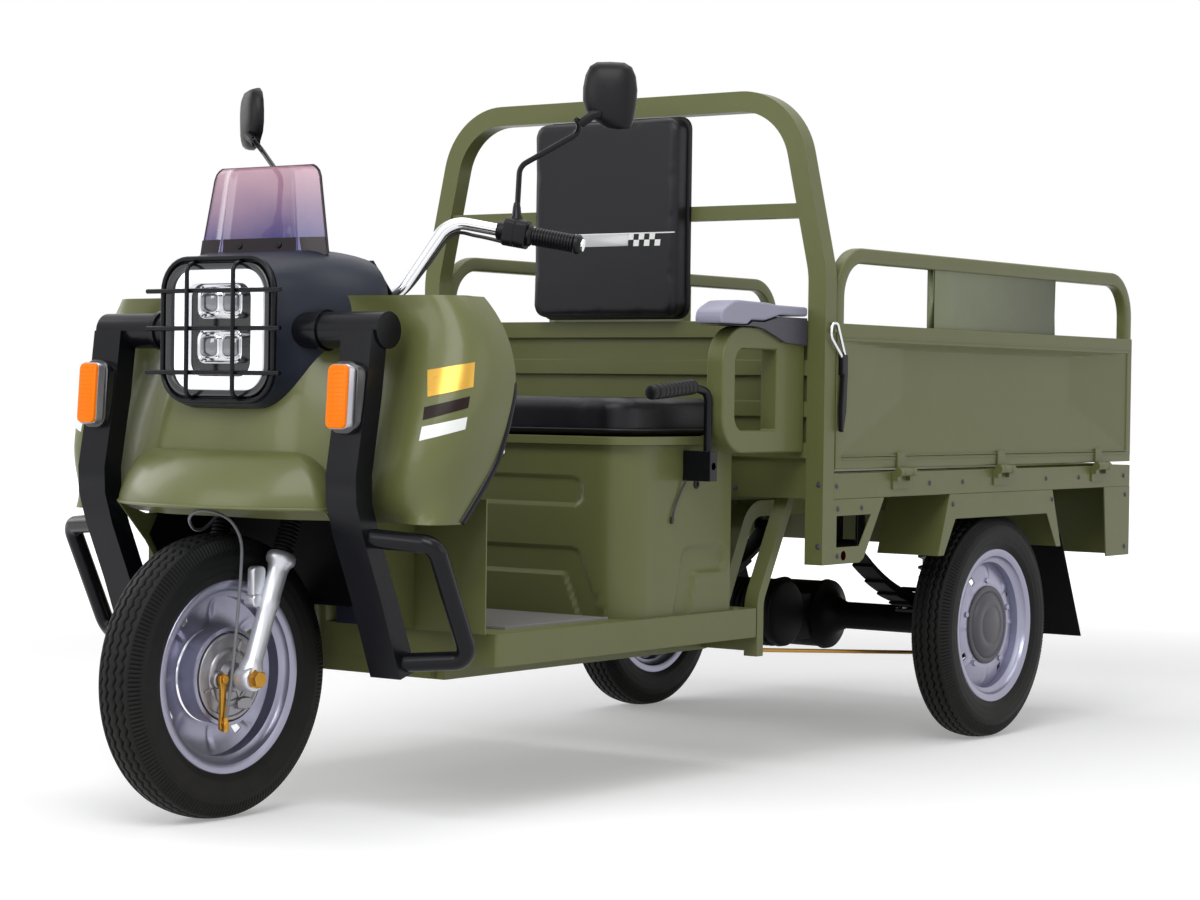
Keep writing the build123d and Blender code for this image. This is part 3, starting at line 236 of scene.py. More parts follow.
olive = (98, 102, 60)
green_paint = finish_of("green_paint", olive, 0.42, coat=0.12, grain=900, bump=0.03, dust=0.04,
                        specular=0.28)
green_plastic = finish_of("green_plastic", olive, 0.38, coat=0.15, grain=700, bump=0.03,
                          specular=0.32)
sign_green = finish_of("sign_green", (118, 124, 94), 0.45, shade=0.22, grain=500, dust=0.06,
                       specular=0.3)
cowl_plastic = finish_of("cowl_plastic", (34, 38, 50), 0.38, grain=1200, specular=0.28)
frame_black = finish_of("frame_black", (13, 14, 19), 0.24, grain=800, bump=0.05, specular=0.2)
under_black = finish_of("under_black", (13, 12, 13), 0.5, grain=300, bump=0.25, specular=0.1)
moulded_black = finish_of("moulded_black", (17, 17, 20), 0.38, grain=1400, bump=0.14, specular=0.2)
tyre_rubber = finish_of("tyre_rubber", (16, 17, 18), 0.55, grain=500, bump=0.22, dust=0.03,
                        specular=0.16)
wheel_silver = finish_of("wheel_silver", (158, 158, 178), 0.30, metallic=0.75, grain=900,
                         bump=0.03, dust=0.06)
fork_silver = finish_of("fork_silver", (214, 216, 222), 0.36, metallic=0.7, grain=260, bump=0.03)
cast_alloy = finish_of("cast_alloy", (152, 150, 154), 0.38, metallic=0.8, grain=420, bump=0.22)
chrome = finish_of("chrome", (225, 226, 230), 0.12, metallic=1.0, grain=900, bump=0.01)
gold_zinc = finish_of("gold_zinc", (190, 140, 52), 0.32, metallic=0.85, grain=420, bump=0.1)
cap_grey = finish_of("cap_grey", (74, 72, 78), 0.34, metallic=0.35, grain=1200, bump=0.03)
seat_cover = finish_of("seat_cover", (18, 18, 23), 0.34, grain=1500, bump=0.22, specular=0.26)
arm_light = finish_of("arm_light", (148, 148, 168), 0.42, grain=1400, bump=0.1)
arm_dark = finish_of("arm_dark", (58, 56, 68), 0.46, grain=1400, bump=0.12)
amber = finish_of("amber", (238, 118, 6), 0.3, shade=0.08, grain=60, bump=0.02, glow=0.16,
                  specular=0.15)
# The red lens glows faintly: lamp light on the tail lamps, but painted light on the side reflectors,
# which are no lamps.
red_lens = finish_of("red_lens", (176, 24, 18), 0.18, shade=0.05, grain=60, bump=0.02, coat=0.6,
                     glow=0.05)
lamp_white = finish_of("lamp_white", (244, 246, 250), 0.25, shade=0.03, grain=60, bump=0.02,
                       glow=0.55)
lamp_black = finish_of("lamp_black", (20, 21, 24), 0.16, grain=200, bump=0.02, coat=0.5)
lamp_silver = finish_of("lamp_silver", (176, 174, 182), 0.24, metallic=0.7, grain=300, bump=0.02)
projector_grey = finish_of("projector_grey", (120, 122, 128), 0.08, shade=0.5, grain=40,
                           bump=0.02, metallic=0.6, coat=1.0)
mirror_glass = finish_of("mirror_glass", (210, 214, 220), 0.04, metallic=1.0, shade=0.02, grain=60,
                         bump=0.0)
mat_grey = finish_of("mat_grey", (132, 130, 128), 0.62, grain=700, bump=0.2, dust=0.2)
cable_black = finish_of("cable_black", (28, 28, 30), 0.5, grain=1500, bump=0.08)
cable_grey = finish_of("cable_grey", (118, 120, 124), 0.42, grain=900)
stripe_gold = finish_of("stripe_gold", (206, 160, 66), 0.28, metallic=0.6, grain=300, bump=0.03)
stripe_black = finish_of("stripe_black", (34, 22, 20), 0.36, grain=300, bump=0.02, specular=0.15)
stripe_white = finish_of("stripe_white", (238, 240, 238), 0.36, shade=0.04, grain=300, bump=0.02)
patch_silver = finish_of("patch_silver", (182, 184, 186), 0.34, shade=0.3, grain=200, bump=0.02,
                         metallic=0.3)
screen_band = finish_of("screen_band", (30, 16, 24), 0.16, grain=300, bump=0.02, specular=0.3)


def make_smoked_screen():
    """Tinted sheet: violet low down, pinker and more open towards the top."""
    material, tree, shader = new_finish("smoked_screen")
    place = object_place(tree)
    split = tree.nodes.new("ShaderNodeSeparateXYZ")
    tree.links.new(place, split.inputs[0])
    height = add_node(tree, "ShaderNodeMapRange")
    height.inputs["From Min"].default_value = 0.985
    height.inputs["From Max"].default_value = 1.108
    tree.links.new(split.outputs["Z"], height.inputs["Value"])
    cloud = math_node(tree, "SUBTRACT", noise_node(tree, place, 9.0), 0.5)
    drift = math_node(tree, "MULTIPLY", cloud, 0.5)
    share = math_node(tree, "ADD", height.outputs[0], drift, clamp=True)
    colour = mix_colours(tree, share, tone(56, 48, 126), tone(190, 138, 158))
    tree.links.new(colour, shader.inputs["Base Color"])
    opening = math_node(tree, "MULTIPLY", share, -0.25)
    solid = math_node(tree, "ADD", opening, 0.84, clamp=True)
    tree.links.new(solid, shader.inputs["Alpha"])
    shader.inputs["Roughness"].default_value = 0.08
    shader.inputs["Coat Weight"].default_value = 0.5
    return material


smoked_screen = make_smoked_screen()


# ---------------------------------------------------------------- shaping tools
class Shape:
    """Gathers the points and faces of one piece."""

    def __init__(self):
        self.points = []
        self.faces = []

    def add(self, points, faces):
        first = len(self.points)
        self.points.extend(points)
        self.faces.extend(tuple(first + i for i in face) for face in faces)
        return self

    def rings(self, rings, cap=True, closed=False, loop=True):
        """Skin a row of rings. closed joins the last ring to the first, loop closes each ring."""
        count = len(rings[0])
        faces = []
        for r in range(len(rings) - (0 if closed else 1)):
            s = (r + 1) % len(rings)
            for i in range(count - (0 if loop else 1)):
                j = (i + 1) % count
                faces.append((r * count + i, r * count + j, s * count + j, s * count + i))
        if cap and not closed:
            faces.append(tuple(reversed(range(count))))
            faces.append(tuple(range((len(rings) - 1) * count, len(rings) * count)))
        return self.add([Vector(p) for ring in rings for p in ring], faces)

    def lathe(self, origin, axis, profile, segments=64, closed=False):
        """Turn a profile of (along, radius) in millimetres about an axis."""
        axis = Vector(axis).normalized()
        side = axis.orthogonal().normalized()
        other = axis.cross(side)
        rings = []
        for k in range(segments):
            turn = 2 * math.pi * k / segments
            out = side * math.cos(turn) + other * math.sin(turn)
            rings.append([Vector(origin) + axis * (a * mm) + out * (r * mm) for a, r in profile])
        return self.rings(rings, cap=False, closed=True, loop=closed)

    def tube(self, path, section, up=(0, 0, 1), closed=False):
        """Sweep a section, a list of (side, up) in millimetres, along a path of points."""
        up = Vector(up)
        rings = []
        count = len(path)
        for i, place in enumerate(path):
            before = path[i - 1] if i or closed else path[0]
            after = path[(i + 1) % count] if i < count - 1 or closed else path[-1]
            heading = (after - before).normalized()
            side = heading.cross(up)
            if side.length < 1e-4:
                side = heading.orthogonal()
            side.normalize()
            up = side.cross(heading).normalized()
            rings.append([place + side * (a * mm) + up * (b * mm) for a, b in section])
        return self.rings(rings, closed=closed)

    def prism(self, outline, x0, x1):
        """Extrude an outline of (station, height) between two x values, all in millimetres."""
        return self.rings([[spot(x, s, z) for s, z in outline] for x in sorted((x0, x1))])

    def block(self, x0, x1, s0, s1, z0, z1):
        return self.prism([(s0, z0), (s1, z0), (s1, z1), (s0, z1)], x0, x1)

    def domed(self, origin, across, up, outline, stages):
        """Stack copies of a flat outline: a stage is (scale across, scale up, distance out)."""
        across, up = Vector(across).normalized(), Vector(up).normalized()
        out = across.cross(up)
        return self.rings([[Vector(origin) + across * (a * wide * mm) + up * (b * tall * mm)
                            + out * (forward * mm) for a, b in outline]
                           for wide, tall, forward in stages])

    def mirrored_too(self):
        """Add the same again on the vehicle's other side."""
        return self.add([Vector((-p[0], p[1], p[2])) for p in self.points], list(self.faces))


def circle(radius, count=16):
    return [(radius * math.cos(2 * math.pi * i / count), radius * math.sin(2 * math.pi * i / count))
            for i in range(count)]


def rounded_rectangle(width, height, corner, steps=4):
    points = []
    for cx, cy, first in ((1, 1, 0), (-1, 1, 90), (-1, -1, 180), (1, -1, 270)):
        for k in range(steps + 1):
            turn = math.radians(first + 90 * k / steps)
            points.append((cx * (width / 2 - corner) + corner * math.cos(turn),
                           cy * (height / 2 - corner) + corner * math.sin(turn)))
    return points


def bent(points, radii, step=9.0):
    """Straight runs joined by round bends, as a tube bender makes them. Radii in millimetres."""
    if not hasattr(radii, "__len__"):
        radii = [radii] * (len(points) - 2)
    path = [Vector(points[0])]
    for before, corner, after, radius in zip(points, points[1:], points[2:], radii):
        arriving = (Vector(corner) - Vector(before)).normalized()
        leaving = (Vector(after) - Vector(corner)).normalized()
        turn = arriving.angle(leaving, 0.0)
        if turn < 1e-3:
            continue
        setback = radius * mm * math.tan(turn / 2)
        axis = arriving.cross(leaving).normalized()
        start = Vector(corner) - arriving * setback
        centre = start + axis.cross(arriving) * (radius * mm)
        count = max(2, round(math.degrees(turn) / step))
        for k in range(count + 1):
            arm = start - centre
            arm.rotate(Matrix.Rotation(turn * k / count, 3, axis))
            path.append(centre + arm)
    path.append(Vector(points[-1]))
    return path


def smooth_curve(points, steps=6):
    """Points of a smooth curve through the given ones."""
    points = [Vector(p) for p in points]
    ends = [2 * points[0] - points[1]] + points + [2 * points[-1] - points[-2]]
    result = []
    for a, b, c, d in zip(ends, ends[1:], ends[2:], ends[3:]):
        for k in range(steps):
            t = k / steps
            result.append(0.5 * ((2 * b) + (c - a) * t + (2 * a - 5 * b + 4 * c - d) * t * t
                                 + (3 * b - a - 3 * c + d) * t ** 3))
    return result + [points[-1]]


def shell(top, bottom, keep=None, wrap=False):
    """A closed sheet between two grids of points; cells that keep leaves out become holes."""
    rows, cols = len(top), len(top[0])
    cells = cols if wrap else cols - 1
    if keep is None:
        keep = np.ones((rows - 1, cells), bool)
    points = [Vector(p) for row in top for p in row] + [Vector(p) for row in bottom for p in row]
    under = rows * cols
    faces = []

    def kept(i, j):
        if wrap:
            j %= cells
        return 0 <= i < rows - 1 and 0 <= j < cells and keep[i][j]

    for i in range(rows - 1):
        for j in range(cells):
            if not keep[i][j]:
                continue
            k = (j + 1) % cols
            a, b, c, d = i * cols + j, i * cols + k, (i + 1) * cols + k, (i + 1) * cols + j
            faces.append((a, b, c, d))
            faces.append((under + d, under + c, under + b, under + a))
            for other, (p, q) in (((i - 1, j), (b, a)), ((i, j + 1), (c, b)),
                                  ((i + 1, j), (d, c)), ((i, j - 1), (a, d))):
                if not kept(*other):
                    faces.append((p, q, under + q, under + p))
    return Shape().add(points, faces)


def linked(name, data):
    """A new object in the scene."""
    made = bpy.data.objects.new(name, data)
    scene.collection.objects.link(made)
    return made


def mesh_of(shape, name, merge=True):
    """A shape's mesh, with its seams merged if asked and its faces turned outwards."""
    mesh = bpy.data.meshes.new(name)
    mesh.from_pydata(shape.points, [], shape.faces)
    work = bmesh.new()
    work.from_mesh(mesh)
    if merge:
        bmesh.ops.remove_doubles(work, verts=work.verts, dist=1e-5)
        bmesh.ops.dissolve_degenerate(work, edges=work.edges, dist=1e-6)
    bmesh.ops.recalc_face_normals(work, faces=work.faces)
    work.to_mesh(mesh)
    work.free()
    return mesh


def finished(shape, name, material, body="chassis", stands_for=(), bevel=0.0, smooth=38.0):
    """Make the piece from its shape and hang it on its body."""
    return dressed(linked(name, mesh_of(shape, name)), material, body, stands_for, bevel,
                   smooth)


def dressed(piece, material, body, stands_for=(), bevel=0.0, smooth=38.0, subdivide=0):
    """Give a piece its finish and its edges, hang it on the body it rides on, and hide the
    construction parts it stands for.
    """
    piece.data.materials.clear()
    piece.data.materials.append(material)
    piece.data.shade_smooth()
    if subdivide:
        rounder = piece.modifiers.new("rounder", "SUBSURF")
        rounder.levels = subdivide
        rounder.render_levels = subdivide
    if bevel:
        edge = piece.modifiers.new("edge", "BEVEL")
        edge.width = bevel * mm
        edge.segments = 2
        edge.limit_method = "ANGLE"
        edge.angle_limit = math.radians(smooth)
        weighted = piece.modifiers.new("weighted", "WEIGHTED_NORMAL")
        weighted.keep_sharp = True
    else:
        piece.data.set_sharp_from_angle(angle=math.radians(smooth))
    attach(piece, body)
    if stands_for:
        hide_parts(*stands_for)
    return piece


def construction_copy(node):
    """A copy of a construction mesh, with its seams merged, and a bmesh to work on it."""
    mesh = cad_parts[node].data.copy()
    work = bmesh.new()
    work.from_mesh(mesh)
    bmesh.ops.remove_doubles(work, verts=work.verts, dist=2e-5)
    return mesh, work


def put_back(work, mesh):
    """Write the worked copy back, without the construction's own normals."""
    work.to_mesh(mesh)
    work.free()
    for name in [a.name for a in mesh.attributes if a.name.startswith("custom_normal")]:
        mesh.attributes.remove(mesh.attributes[name])


def softened(node, material, body="chassis", bevel=1.5, smooth=33.0):
    """The construction piece again, with the small rounded edges that folded sheet has."""
    mesh, work = construction_copy(node)
    bmesh.ops.dissolve_limit(work, angle_limit=math.radians(0.5), verts=work.verts,
                             edges=work.edges)
    put_back(work, mesh)
    return dressed(linked(node + "_finish", mesh), material, body, (node,), bevel, smooth)


def evaluated_mesh(piece):
    """The piece's mesh with its modifiers applied."""
    return bpy.data.meshes.new_from_object(
        piece.evaluated_get(bpy.context.evaluated_depsgraph_get()))


# ---------------------------------------------------------------- camera, floor and light
def aim_camera():
    """The camera stands low in front of the vehicle's left side, leaning a touch."""
    azimuth, fall, roll = (math.radians(angle) for angle in (36.235, 1.184, 0.7615))
    stand = (3.2612, -4.4872, 0.7301)
    forward = Vector((-math.sin(azimuth) * math.cos(fall), math.cos(azimuth) * math.cos(fall),
                      -math.sin(fall)))
    level = Vector((math.cos(azimuth), math.sin(azimuth), 0))
    upright = level.cross(forward)
    right = level * math.cos(roll) + upright * math.sin(roll)
    up = upright * math.cos(roll) - level * math.sin(roll)
    camera = linked("camera", bpy.data.cameras.new("camera"))
    camera.data.sensor_width = 36.0
    camera.data.lens = 81.813
    camera.data.clip_end = 60
    camera.matrix_world = Matrix([(right[i], up[i], -forward[i], stand[i]) for i in range(3)]
                                 + [(0, 0, 0, 1)])
    scene.camera = camera


def seen_rays(tree):
    """1 for rays that look straight at a surface, or see it in metal or through glass."""
    path = tree.nodes.new("ShaderNodeLightPath")
    straight = math_node(tree, "ADD", path.outputs["Is Camera Ray"], path.outputs["Is Glossy Ray"])
    return math_node(tree, "ADD", straight, path.outputs["Is Transmission Ray"], clamp=True)


def lay_floor():
    """A white floor that keeps the shadow and runs out into the white ground behind."""
    reach = 30.0
    mesh = bpy.data.meshes.new("floor")
    corners = [(-reach, -reach, 0), (reach, -reach, 0), (reach, reach, 0), (-reach, reach, 0)]
    mesh.from_pydata(corners, [], [(0, 1, 2, 3)])
    floor = linked("floor", mesh)
    material, tree, shader = new_finish("floor_white")
    for label, value in (("Base Color", (0.80, 0.80, 0.81, 1)), ("Roughness", 0.9),
                         ("Specular IOR Level", 0.1), ("Emission Color", (1, 1, 1, 1))):
        shader.inputs[label].default_value = value
    distance = add_node(tree, "ShaderNodeVectorMath", operation="LENGTH")
    tree.links.new(object_place(tree), distance.inputs[0])
    far = add_node(tree, "ShaderNodeMapRange", interpolation_type="SMOOTHSTEP")
    for label, value in (("From Min", 2.2), ("From Max", 6.0), ("To Min", 0.28), ("To Max", 1.0)):
        far.inputs[label].default_value = value
    tree.links.new(distance.outputs["Value"], far.inputs["Value"])
    white = math_node(tree, "MULTIPLY", far.outputs[0], seen_rays(tree))
    tree.links.new(white, shader.inputs["Emission Strength"])
    mesh.materials.append(material)


def light_world():
    world = bpy.data.worlds.new("studio")
    scene.world = world
    world.use_nodes = True
    tree = world.node_tree
    sky = tree.nodes["Background"]
    sky.inputs["Color"].default_value = (1, 1, 1, 1)
    strength = add_node(tree, "ShaderNodeMapRange")
    strength.inputs["To Min"].default_value = 0.32
    strength.inputs["To Max"].default_value = 1.0
    tree.links.new(seen_rays(tree), strength.inputs["Value"])
    tree.links.new(strength.outputs[0], sky.inputs["Strength"])


def soft_lamp(name, place, size, power):
    """A soft rectangular lamp that shines on the vehicle's middle."""
    data = bpy.data.lights.new(name, "AREA")
    data.shape = "RECTANGLE"
    data.size, data.size_y = size
    data.energy = power
    lamp = linked(name, data)
    lamp.location = place
    heading = Vector((0, 0, 0.6)) - Vector(place)
    lamp.rotation_euler = heading.to_track_quat("-Z", "Y").to_euler()


def light_studio():
    soft_lamp("key", (1.6, -3.4, 3.6), (2.6, 2.2), 95)
    soft_lamp("side", (4.6, 0.6, 2.4), (3.4, 2.4), 25)
    soft_lamp("left_rim", (-4.2, -1.2, 2.6), (2.4, 2.4), 40)
    soft_lamp("front", (-1.0, -4.8, 2.2), (2.6, 2.0), 45)
    soft_lamp("overhead", (0, 0.4, 4.4), (4.2, 3.2), 80)


# ---------------------------------------------------------------- wheels
def zigzag(turns):
    """A wave of straight flanks between -1 and 1."""
    share = turns - np.floor(turns)
    return 1 - 4 * np.abs(share - 0.5)


def both_ways(profile):
    """A profile of (along, radius), followed by its mirror image."""
    return profile + [(-x, r) for x, r in reversed(profile)]


def tyre(node, name, body):
    """A ribbed tyre: four zigzag grooves round the crown and slits across the shoulders."""
    low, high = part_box(node)
    centre = (low + high) / 2
    crown = (high.z - low.z) / 2 / mm
    half = (high.x - low.x) / 2 / mm
    segments, waves, slits = 576, 72, 192
    wall = [(half - inwards, crown - drop) for inwards, drop in
            ((11, 90.5), (11, 79.5), (7.4, 75.5), (3.4, 66), (2.4, 64), (2.6, 62), (0.9, 56),
             (0, 49), (0.4, 40), (0, 38), (0.6, 36), (1.6, 29), (2.6, 25), (3.8, 21), (5.2, 17.5))]
    edge = half - 6.5
    across = np.arange(-edge, edge + 0.01, edge / 31)
    crown_line = [(x, crown - 3.2 * (x / 27) ** 2 - 8.0 * max(0.0, (abs(x) - 30) / 8.5) ** 2)
                  for x in across]
    profile = [(-x, r) for x, r in wall] + crown_line + list(reversed(wall))
    x, r = (np.array(column)[:, None] for column in zip(*profile))
    turn = (np.arange(segments) / segments)[None, :]
    depth = np.zeros((len(profile), segments))
    for groove, groove_depth in ((-23, 5.0), (-8.5, 6.0), (8.5, 6.0), (23, 5.0)):
        line = groove + 2.4 * zigzag(turn * waves)
        depth = np.maximum(depth, groove_depth * np.clip(1.7 - np.abs(x - line) / 1.5, 0, 1))
    on_crown = (np.abs(x) <= edge + 0.01) & (r > crown - 12)
    radius = r - np.where(on_crown, depth, 0)
    on_shoulder = (r > crown - 26) & (r < crown - 7) & (np.abs(x) > edge - 6)
    slit = np.floor(turn * segments + 0.5) % (segments // slits) == 0
    cut = np.where(on_shoulder & slit, 2.4, 0.0)
    side = x - np.sign(x) * cut
    radius = radius - cut * 0.5
    angle = turn * 2 * math.pi
    points = np.stack([centre.x + side * mm + 0 * angle,
                       centre.y + radius * mm * np.sin(angle),
                       centre.z + radius * mm * np.cos(angle)], axis=-1)
    shape = Shape().rings(points.transpose(1, 0, 2).tolist(), closed=True)
    finished(shape, name, tyre_rubber, body, (node,), smooth=50)


def wheel_disc(hub, radii, face):
    """The dished disc of a pressed wheel, with eight raised ribs and four slots."""
    ribs, slots, sectors, sheet = 8, 4, 192, 3
    rib_start, rib_end = 84, 134
    top, bottom = [], []
    for radius in radii:
        upper, lower = [], []
        dish = 4 + 13 * math.sin(math.pi * min(1, max(0, (139 - radius) / 56)) * 0.62)
        swell = 0.0
        if rib_start < radius < rib_end:
            swell = max(0, math.sin(math.pi * (radius - rib_start) / (rib_end - rib_start)))
        for k in range(sectors):
            turn = 2 * math.pi * k / sectors
            off_rib = ((k / sectors * ribs + 0.5) % 1) - 0.5
            height = dish + 3.2 * math.exp(-(off_rib / 0.055) ** 2) * swell
            place = hub + Vector((0, math.sin(turn), math.cos(turn))) * (radius * mm)
            upper.append(place + Vector((face * height * mm, 0, 0)))
            lower.append(place + Vector((face * (height - sheet) * mm, 0, 0)))
        top.append(upper)
        bottom.append(lower)
    keep = np.ones((len(radii) - 1, sectors), bool)
    for i in range(len(radii) - 1):
        in_slot_band = 106 < (radii[i] + radii[i + 1]) / 2 < 121
        for j in range(sectors):
            off_slot = (((j + 0.5) / sectors * slots - 0.125) % 1) - 0.5
            keep[i][j] = not (in_slot_band and abs(off_slot) < 0.052)
    return shell(top, bottom, keep, wrap=True)


def rim(node, name, body, face):
    """A pressed wheel: rolled flanges, well and disc, and the drum or the hub behind it."""
    low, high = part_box(node)
    hub = (low + high) / 2
    flange = (high.z - low.z) / 2 / mm
    half = 37.0
    rolled = [(half + out, flange + rise) for out, rise in
              ((-4.4, -1), (-3, 1.6), (-1, 2.2), (0.6, 0.6), (0.4, -3), (-1.4, -10), (-3, -13.5),
               (-10, -15.6), (-14, -19), (-17, -27))]
    inside = [(half - inwards, flange - drop) for inwards, drop in
              ((6, 11), (12.5, 12.6), (16.5, 16.5), (19.5, 24.5))]
    inside_loop = [(-x, r) for x, r in inside] + list(reversed(inside))
    shape = Shape().lathe(hub, (1, 0, 0), both_ways(rolled) + inside_loop, 120, closed=True)
    front = body == "front_wheel"
    radii = [80] if front else [54, 62, 72]
    radii += [84, 88, 92, 97, 102, 107, 112, 117, 122, 127, 131, 134.5, 137.5]
    disc = wheel_disc(hub, radii, face)
    shape.add(disc.points, disc.faces)
    if front:
        drum = 82.0
        shape.lathe(hub, (1, 0, 0),
                    [(-34, 12), (-34, 52), (-30, 60), (-14, 64), (-8, 80), (28, drum),
                     (31.5, drum + 2.5), (34, drum + 1.5), (34, drum - 5), (20, drum - 6),
                     (12, drum - 7), (12, 12)], 96, closed=True)
    else:
        shape.lathe(hub, (face, 0, 0), [(-20, 12), (-20, 58), (11, 58), (11, 12)], 64, closed=True)
    finished(shape, name, wheel_silver, body, (node,), smooth=40)


def hub_cap(node, name, body, face):
    low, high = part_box(node)
    centre = (low + high) / 2
    origin = Vector((low.x if face > 0 else high.x, centre.y, centre.z))
    edge = (high.z - low.z) / 2 / mm
    depth = (high.x - low.x) / mm
    profile = [(0, 0)] + [(along, edge - inwards) for along, inwards in
                          ((0, 28), (4.4, 25), (4.4, 0), (7, 0), (8.5, 1.5), (9.2, 5), (9.6, 11),
                           (8.4, 13), (12.4, 16), (15.4, 30), (16.6, 42), (15.8, 44), (16.6, 46),
                           (depth - 1.0, 62), (depth - 0.4, 74))] + [(depth - 0.3, 0)]
    shape = Shape().lathe(origin, (face, 0, 0), profile, 96)
    finished(shape, name, cap_grey, body, (node,), smooth=60)


def build_wheels():
    tyre("front_tyre", "front_tyre_tread", "front_wheel")
    rim("front_rim", "front_wheel_disc", "front_wheel", -1)
    for side, face in both_sides:
        body = f"rear_{side}_wheel"
        tyre(f"rear_{side}_tyre", f"rear_{side}_tyre_tread", body)
        rim(f"rear_{side}_rim", f"rear_{side}_wheel_disc", body, face)
        hub_cap(f"rear_{side}_hub_cap", f"rear_{side}_cap", body, face)


# ---------------------------------------------------------------- front body
facing_front = ((1, 0, 0), (0, 0, 1))
facing_left = ((0, 1, 0), (0, 0, 1))


def lamp_unit(name, height):
    """One projector lamp: a chromed bezel with two round-cornered lenses side by side."""
    place = spot(0, 0, height)
    bezel = Shape().domed(place, *facing_front, rounded_rectangle(104, 58, 17, 5),
                          [(1, 1, -16), (1, 1, -3), (0.97, 0.95, -1.5), (0.9, 0.84, -4),
                           (0.88, 0.8, -9)])
    lens = Shape()
    for side in (-26, 26):
        middle = place + Vector((side * mm, 0, 0))
        bezel.domed(middle, *facing_front, rounded_rectangle(45, 42, 12, 5),
                    [(1, 1, -12), (1, 1, -5), (0.93, 0.93, -3.4)])
        lens.domed(middle, *facing_front, rounded_rectangle(38, 36, 10, 5),
                   [(1, 1, -6), (0.98, 0.98, -2), (0.85, 0.85, 0), (0.6, 0.6, 1.3),
                    (0.3, 0.3, 1.9)])
    finished(bezel, f"lamp_{name}_reflector", chrome)
    finished(lens, f"lamp_{name}_lens", projector_grey)


def build_headlamp():
    centre = spot(0, 0, lamp_height)
    shape = Shape().domed(centre, *facing_front, rounded_rectangle(244, 228, 50, 8),
                          [(1, 1, -24), (1, 1, 2), (0.985, 0.985, 5.2), (0.965, 0.965, 6),
                           (0.9, 0.9, 4), (0.88, 0.88, -6), (0.86, 0.86, -14)])
    finished(shape, "lamp_housing", lamp_black, stands_for=("headlamp",))

    def ring(edge, forward, scale=1.0):
        return [centre + Vector((a * scale * mm, -forward * mm, b * scale * mm)) for a, b in edge]

    outer = rounded_rectangle(206, 204, 40, 8)
    inner = rounded_rectangle(152, 158, 26, 8)
    light = Shape().rings([ring(outer, -12), ring(outer, 1.5), ring(outer, 3.6, 0.975),
                           ring(inner, 3.6, 1.03), ring(inner, 1.5), ring(inner, -12)],
                          closed=True)
    finished(light, "lamp_light_ring", lamp_white)
    lamp_unit("upper", lamp_height + 48)
    lamp_unit("lower", lamp_height - 28)
    around = ring(rounded_rectangle(258, 242, 56, 8), 3)
    surround = Shape().tube(around, circle(4.5, 10), up=(0, 1, 0), closed=True)
    finished(surround, "lamp_rim", frame_black)


def build_guard():
    shape = Shape()
    wire = circle(4, 12)
    for height in (757, 832, 896):
        shape.tube([spot(-156, -15, height), spot(156, -15, height)], wire)
    for x in (-54, 54):
        upright = [spot(x, 14, 708), spot(x, -22, 718), spot(x, -22, 938), spot(x, 14, 950)]
        shape.tube(bent(upright, 14), wire, up=(1, 0, 0))
    finished(shape, "guard_wires", frame_black, stands_for=("lamp_guard",))


def build_windscreen():
    """A smoked screen with two raised folds and a plain dark band along its foot."""
    foot, rise, foot_half, taper, corner_radius = 955, 159, 150, 30, 19
    left_half = [-1, -0.97, -0.9, -0.8, -0.7, -0.64, -0.6, -0.57, -0.5, -0.35, -0.15]
    across = left_half + [0.0] + [-u for u in reversed(left_half)]

    def half_at(z):
        return foot_half - taper * (z - foot) / rise

    def wrap_at(u):
        return 22 * max(0.0, abs(u) - 0.6) ** 1.4 + 2.5 * u * u

    top, bottom = [], []
    for z in (962, 966, 972, 980, 990, 996, 1004, 1020, 1040, 1060, 1080, 1094, 1104, 1110, 1113):
        corner = max(0.0, z - 1095) / corner_radius
        half = half_at(z) - corner_radius * (1 - math.sqrt(max(0.0, 1 - corner * corner)))
        front_row, back_row = [], []
        for u in across:
            fold = -5.0 * math.exp(-((abs(u) - 0.62) / 0.05) ** 2)
            station = 99 + 8 * (z - foot) / rise + wrap_at(u) + fold
            front_row.append(spot(u * half, station, z))
            back_row.append(spot(u * half * 0.985, station + 3.2, z))
        top.append(front_row)
        bottom.append(back_row)
    finished(shell(top, bottom), "smoked_screen", smoked_screen,
             stands_for=("windscreen",), smooth=50)
    band_front = [[spot(u * half_at(z) * 1.004, 96.8 + wrap_at(u), z) for u in across]
                  for z in (960, 975, 990)]
    band_back = [[p + Vector((0, 1.6 * mm, 0)) for p in row] for row in band_front]
    finished(shell(band_front, band_back), "screen_foot", screen_band, smooth=50)
    for side, x in (("right", -46), ("left", 46)):
        screw = Shape().lathe(spot(x, 97.5, 978), (0, -1, 0),
                              [(-1, 0), (-1, 6.5), (1.5, 6.5), (3, 5), (3.2, 0)], 24)
        finished(screw, f"screen_screw_{side}", moulded_black)
    outline = [row[0] for row in top] + [row[-1] for row in reversed(top)]
    path = [p + Vector((0, 1.2 * mm, 0)) for p in outline]
    edge = Shape().tube(path, circle(2.4, 8), up=(0, 1, 0))
    finished(edge, "screen_edge", screen_band)


bar_end, bar_hand, bar_shoulder, bar_foot = (
    spot(398, 500, 990), spot(262, 440, 1016), spot(190, 380, 1032), spot(135, 303, 892))
bar_heading = (bar_end - bar_hand).normalized()


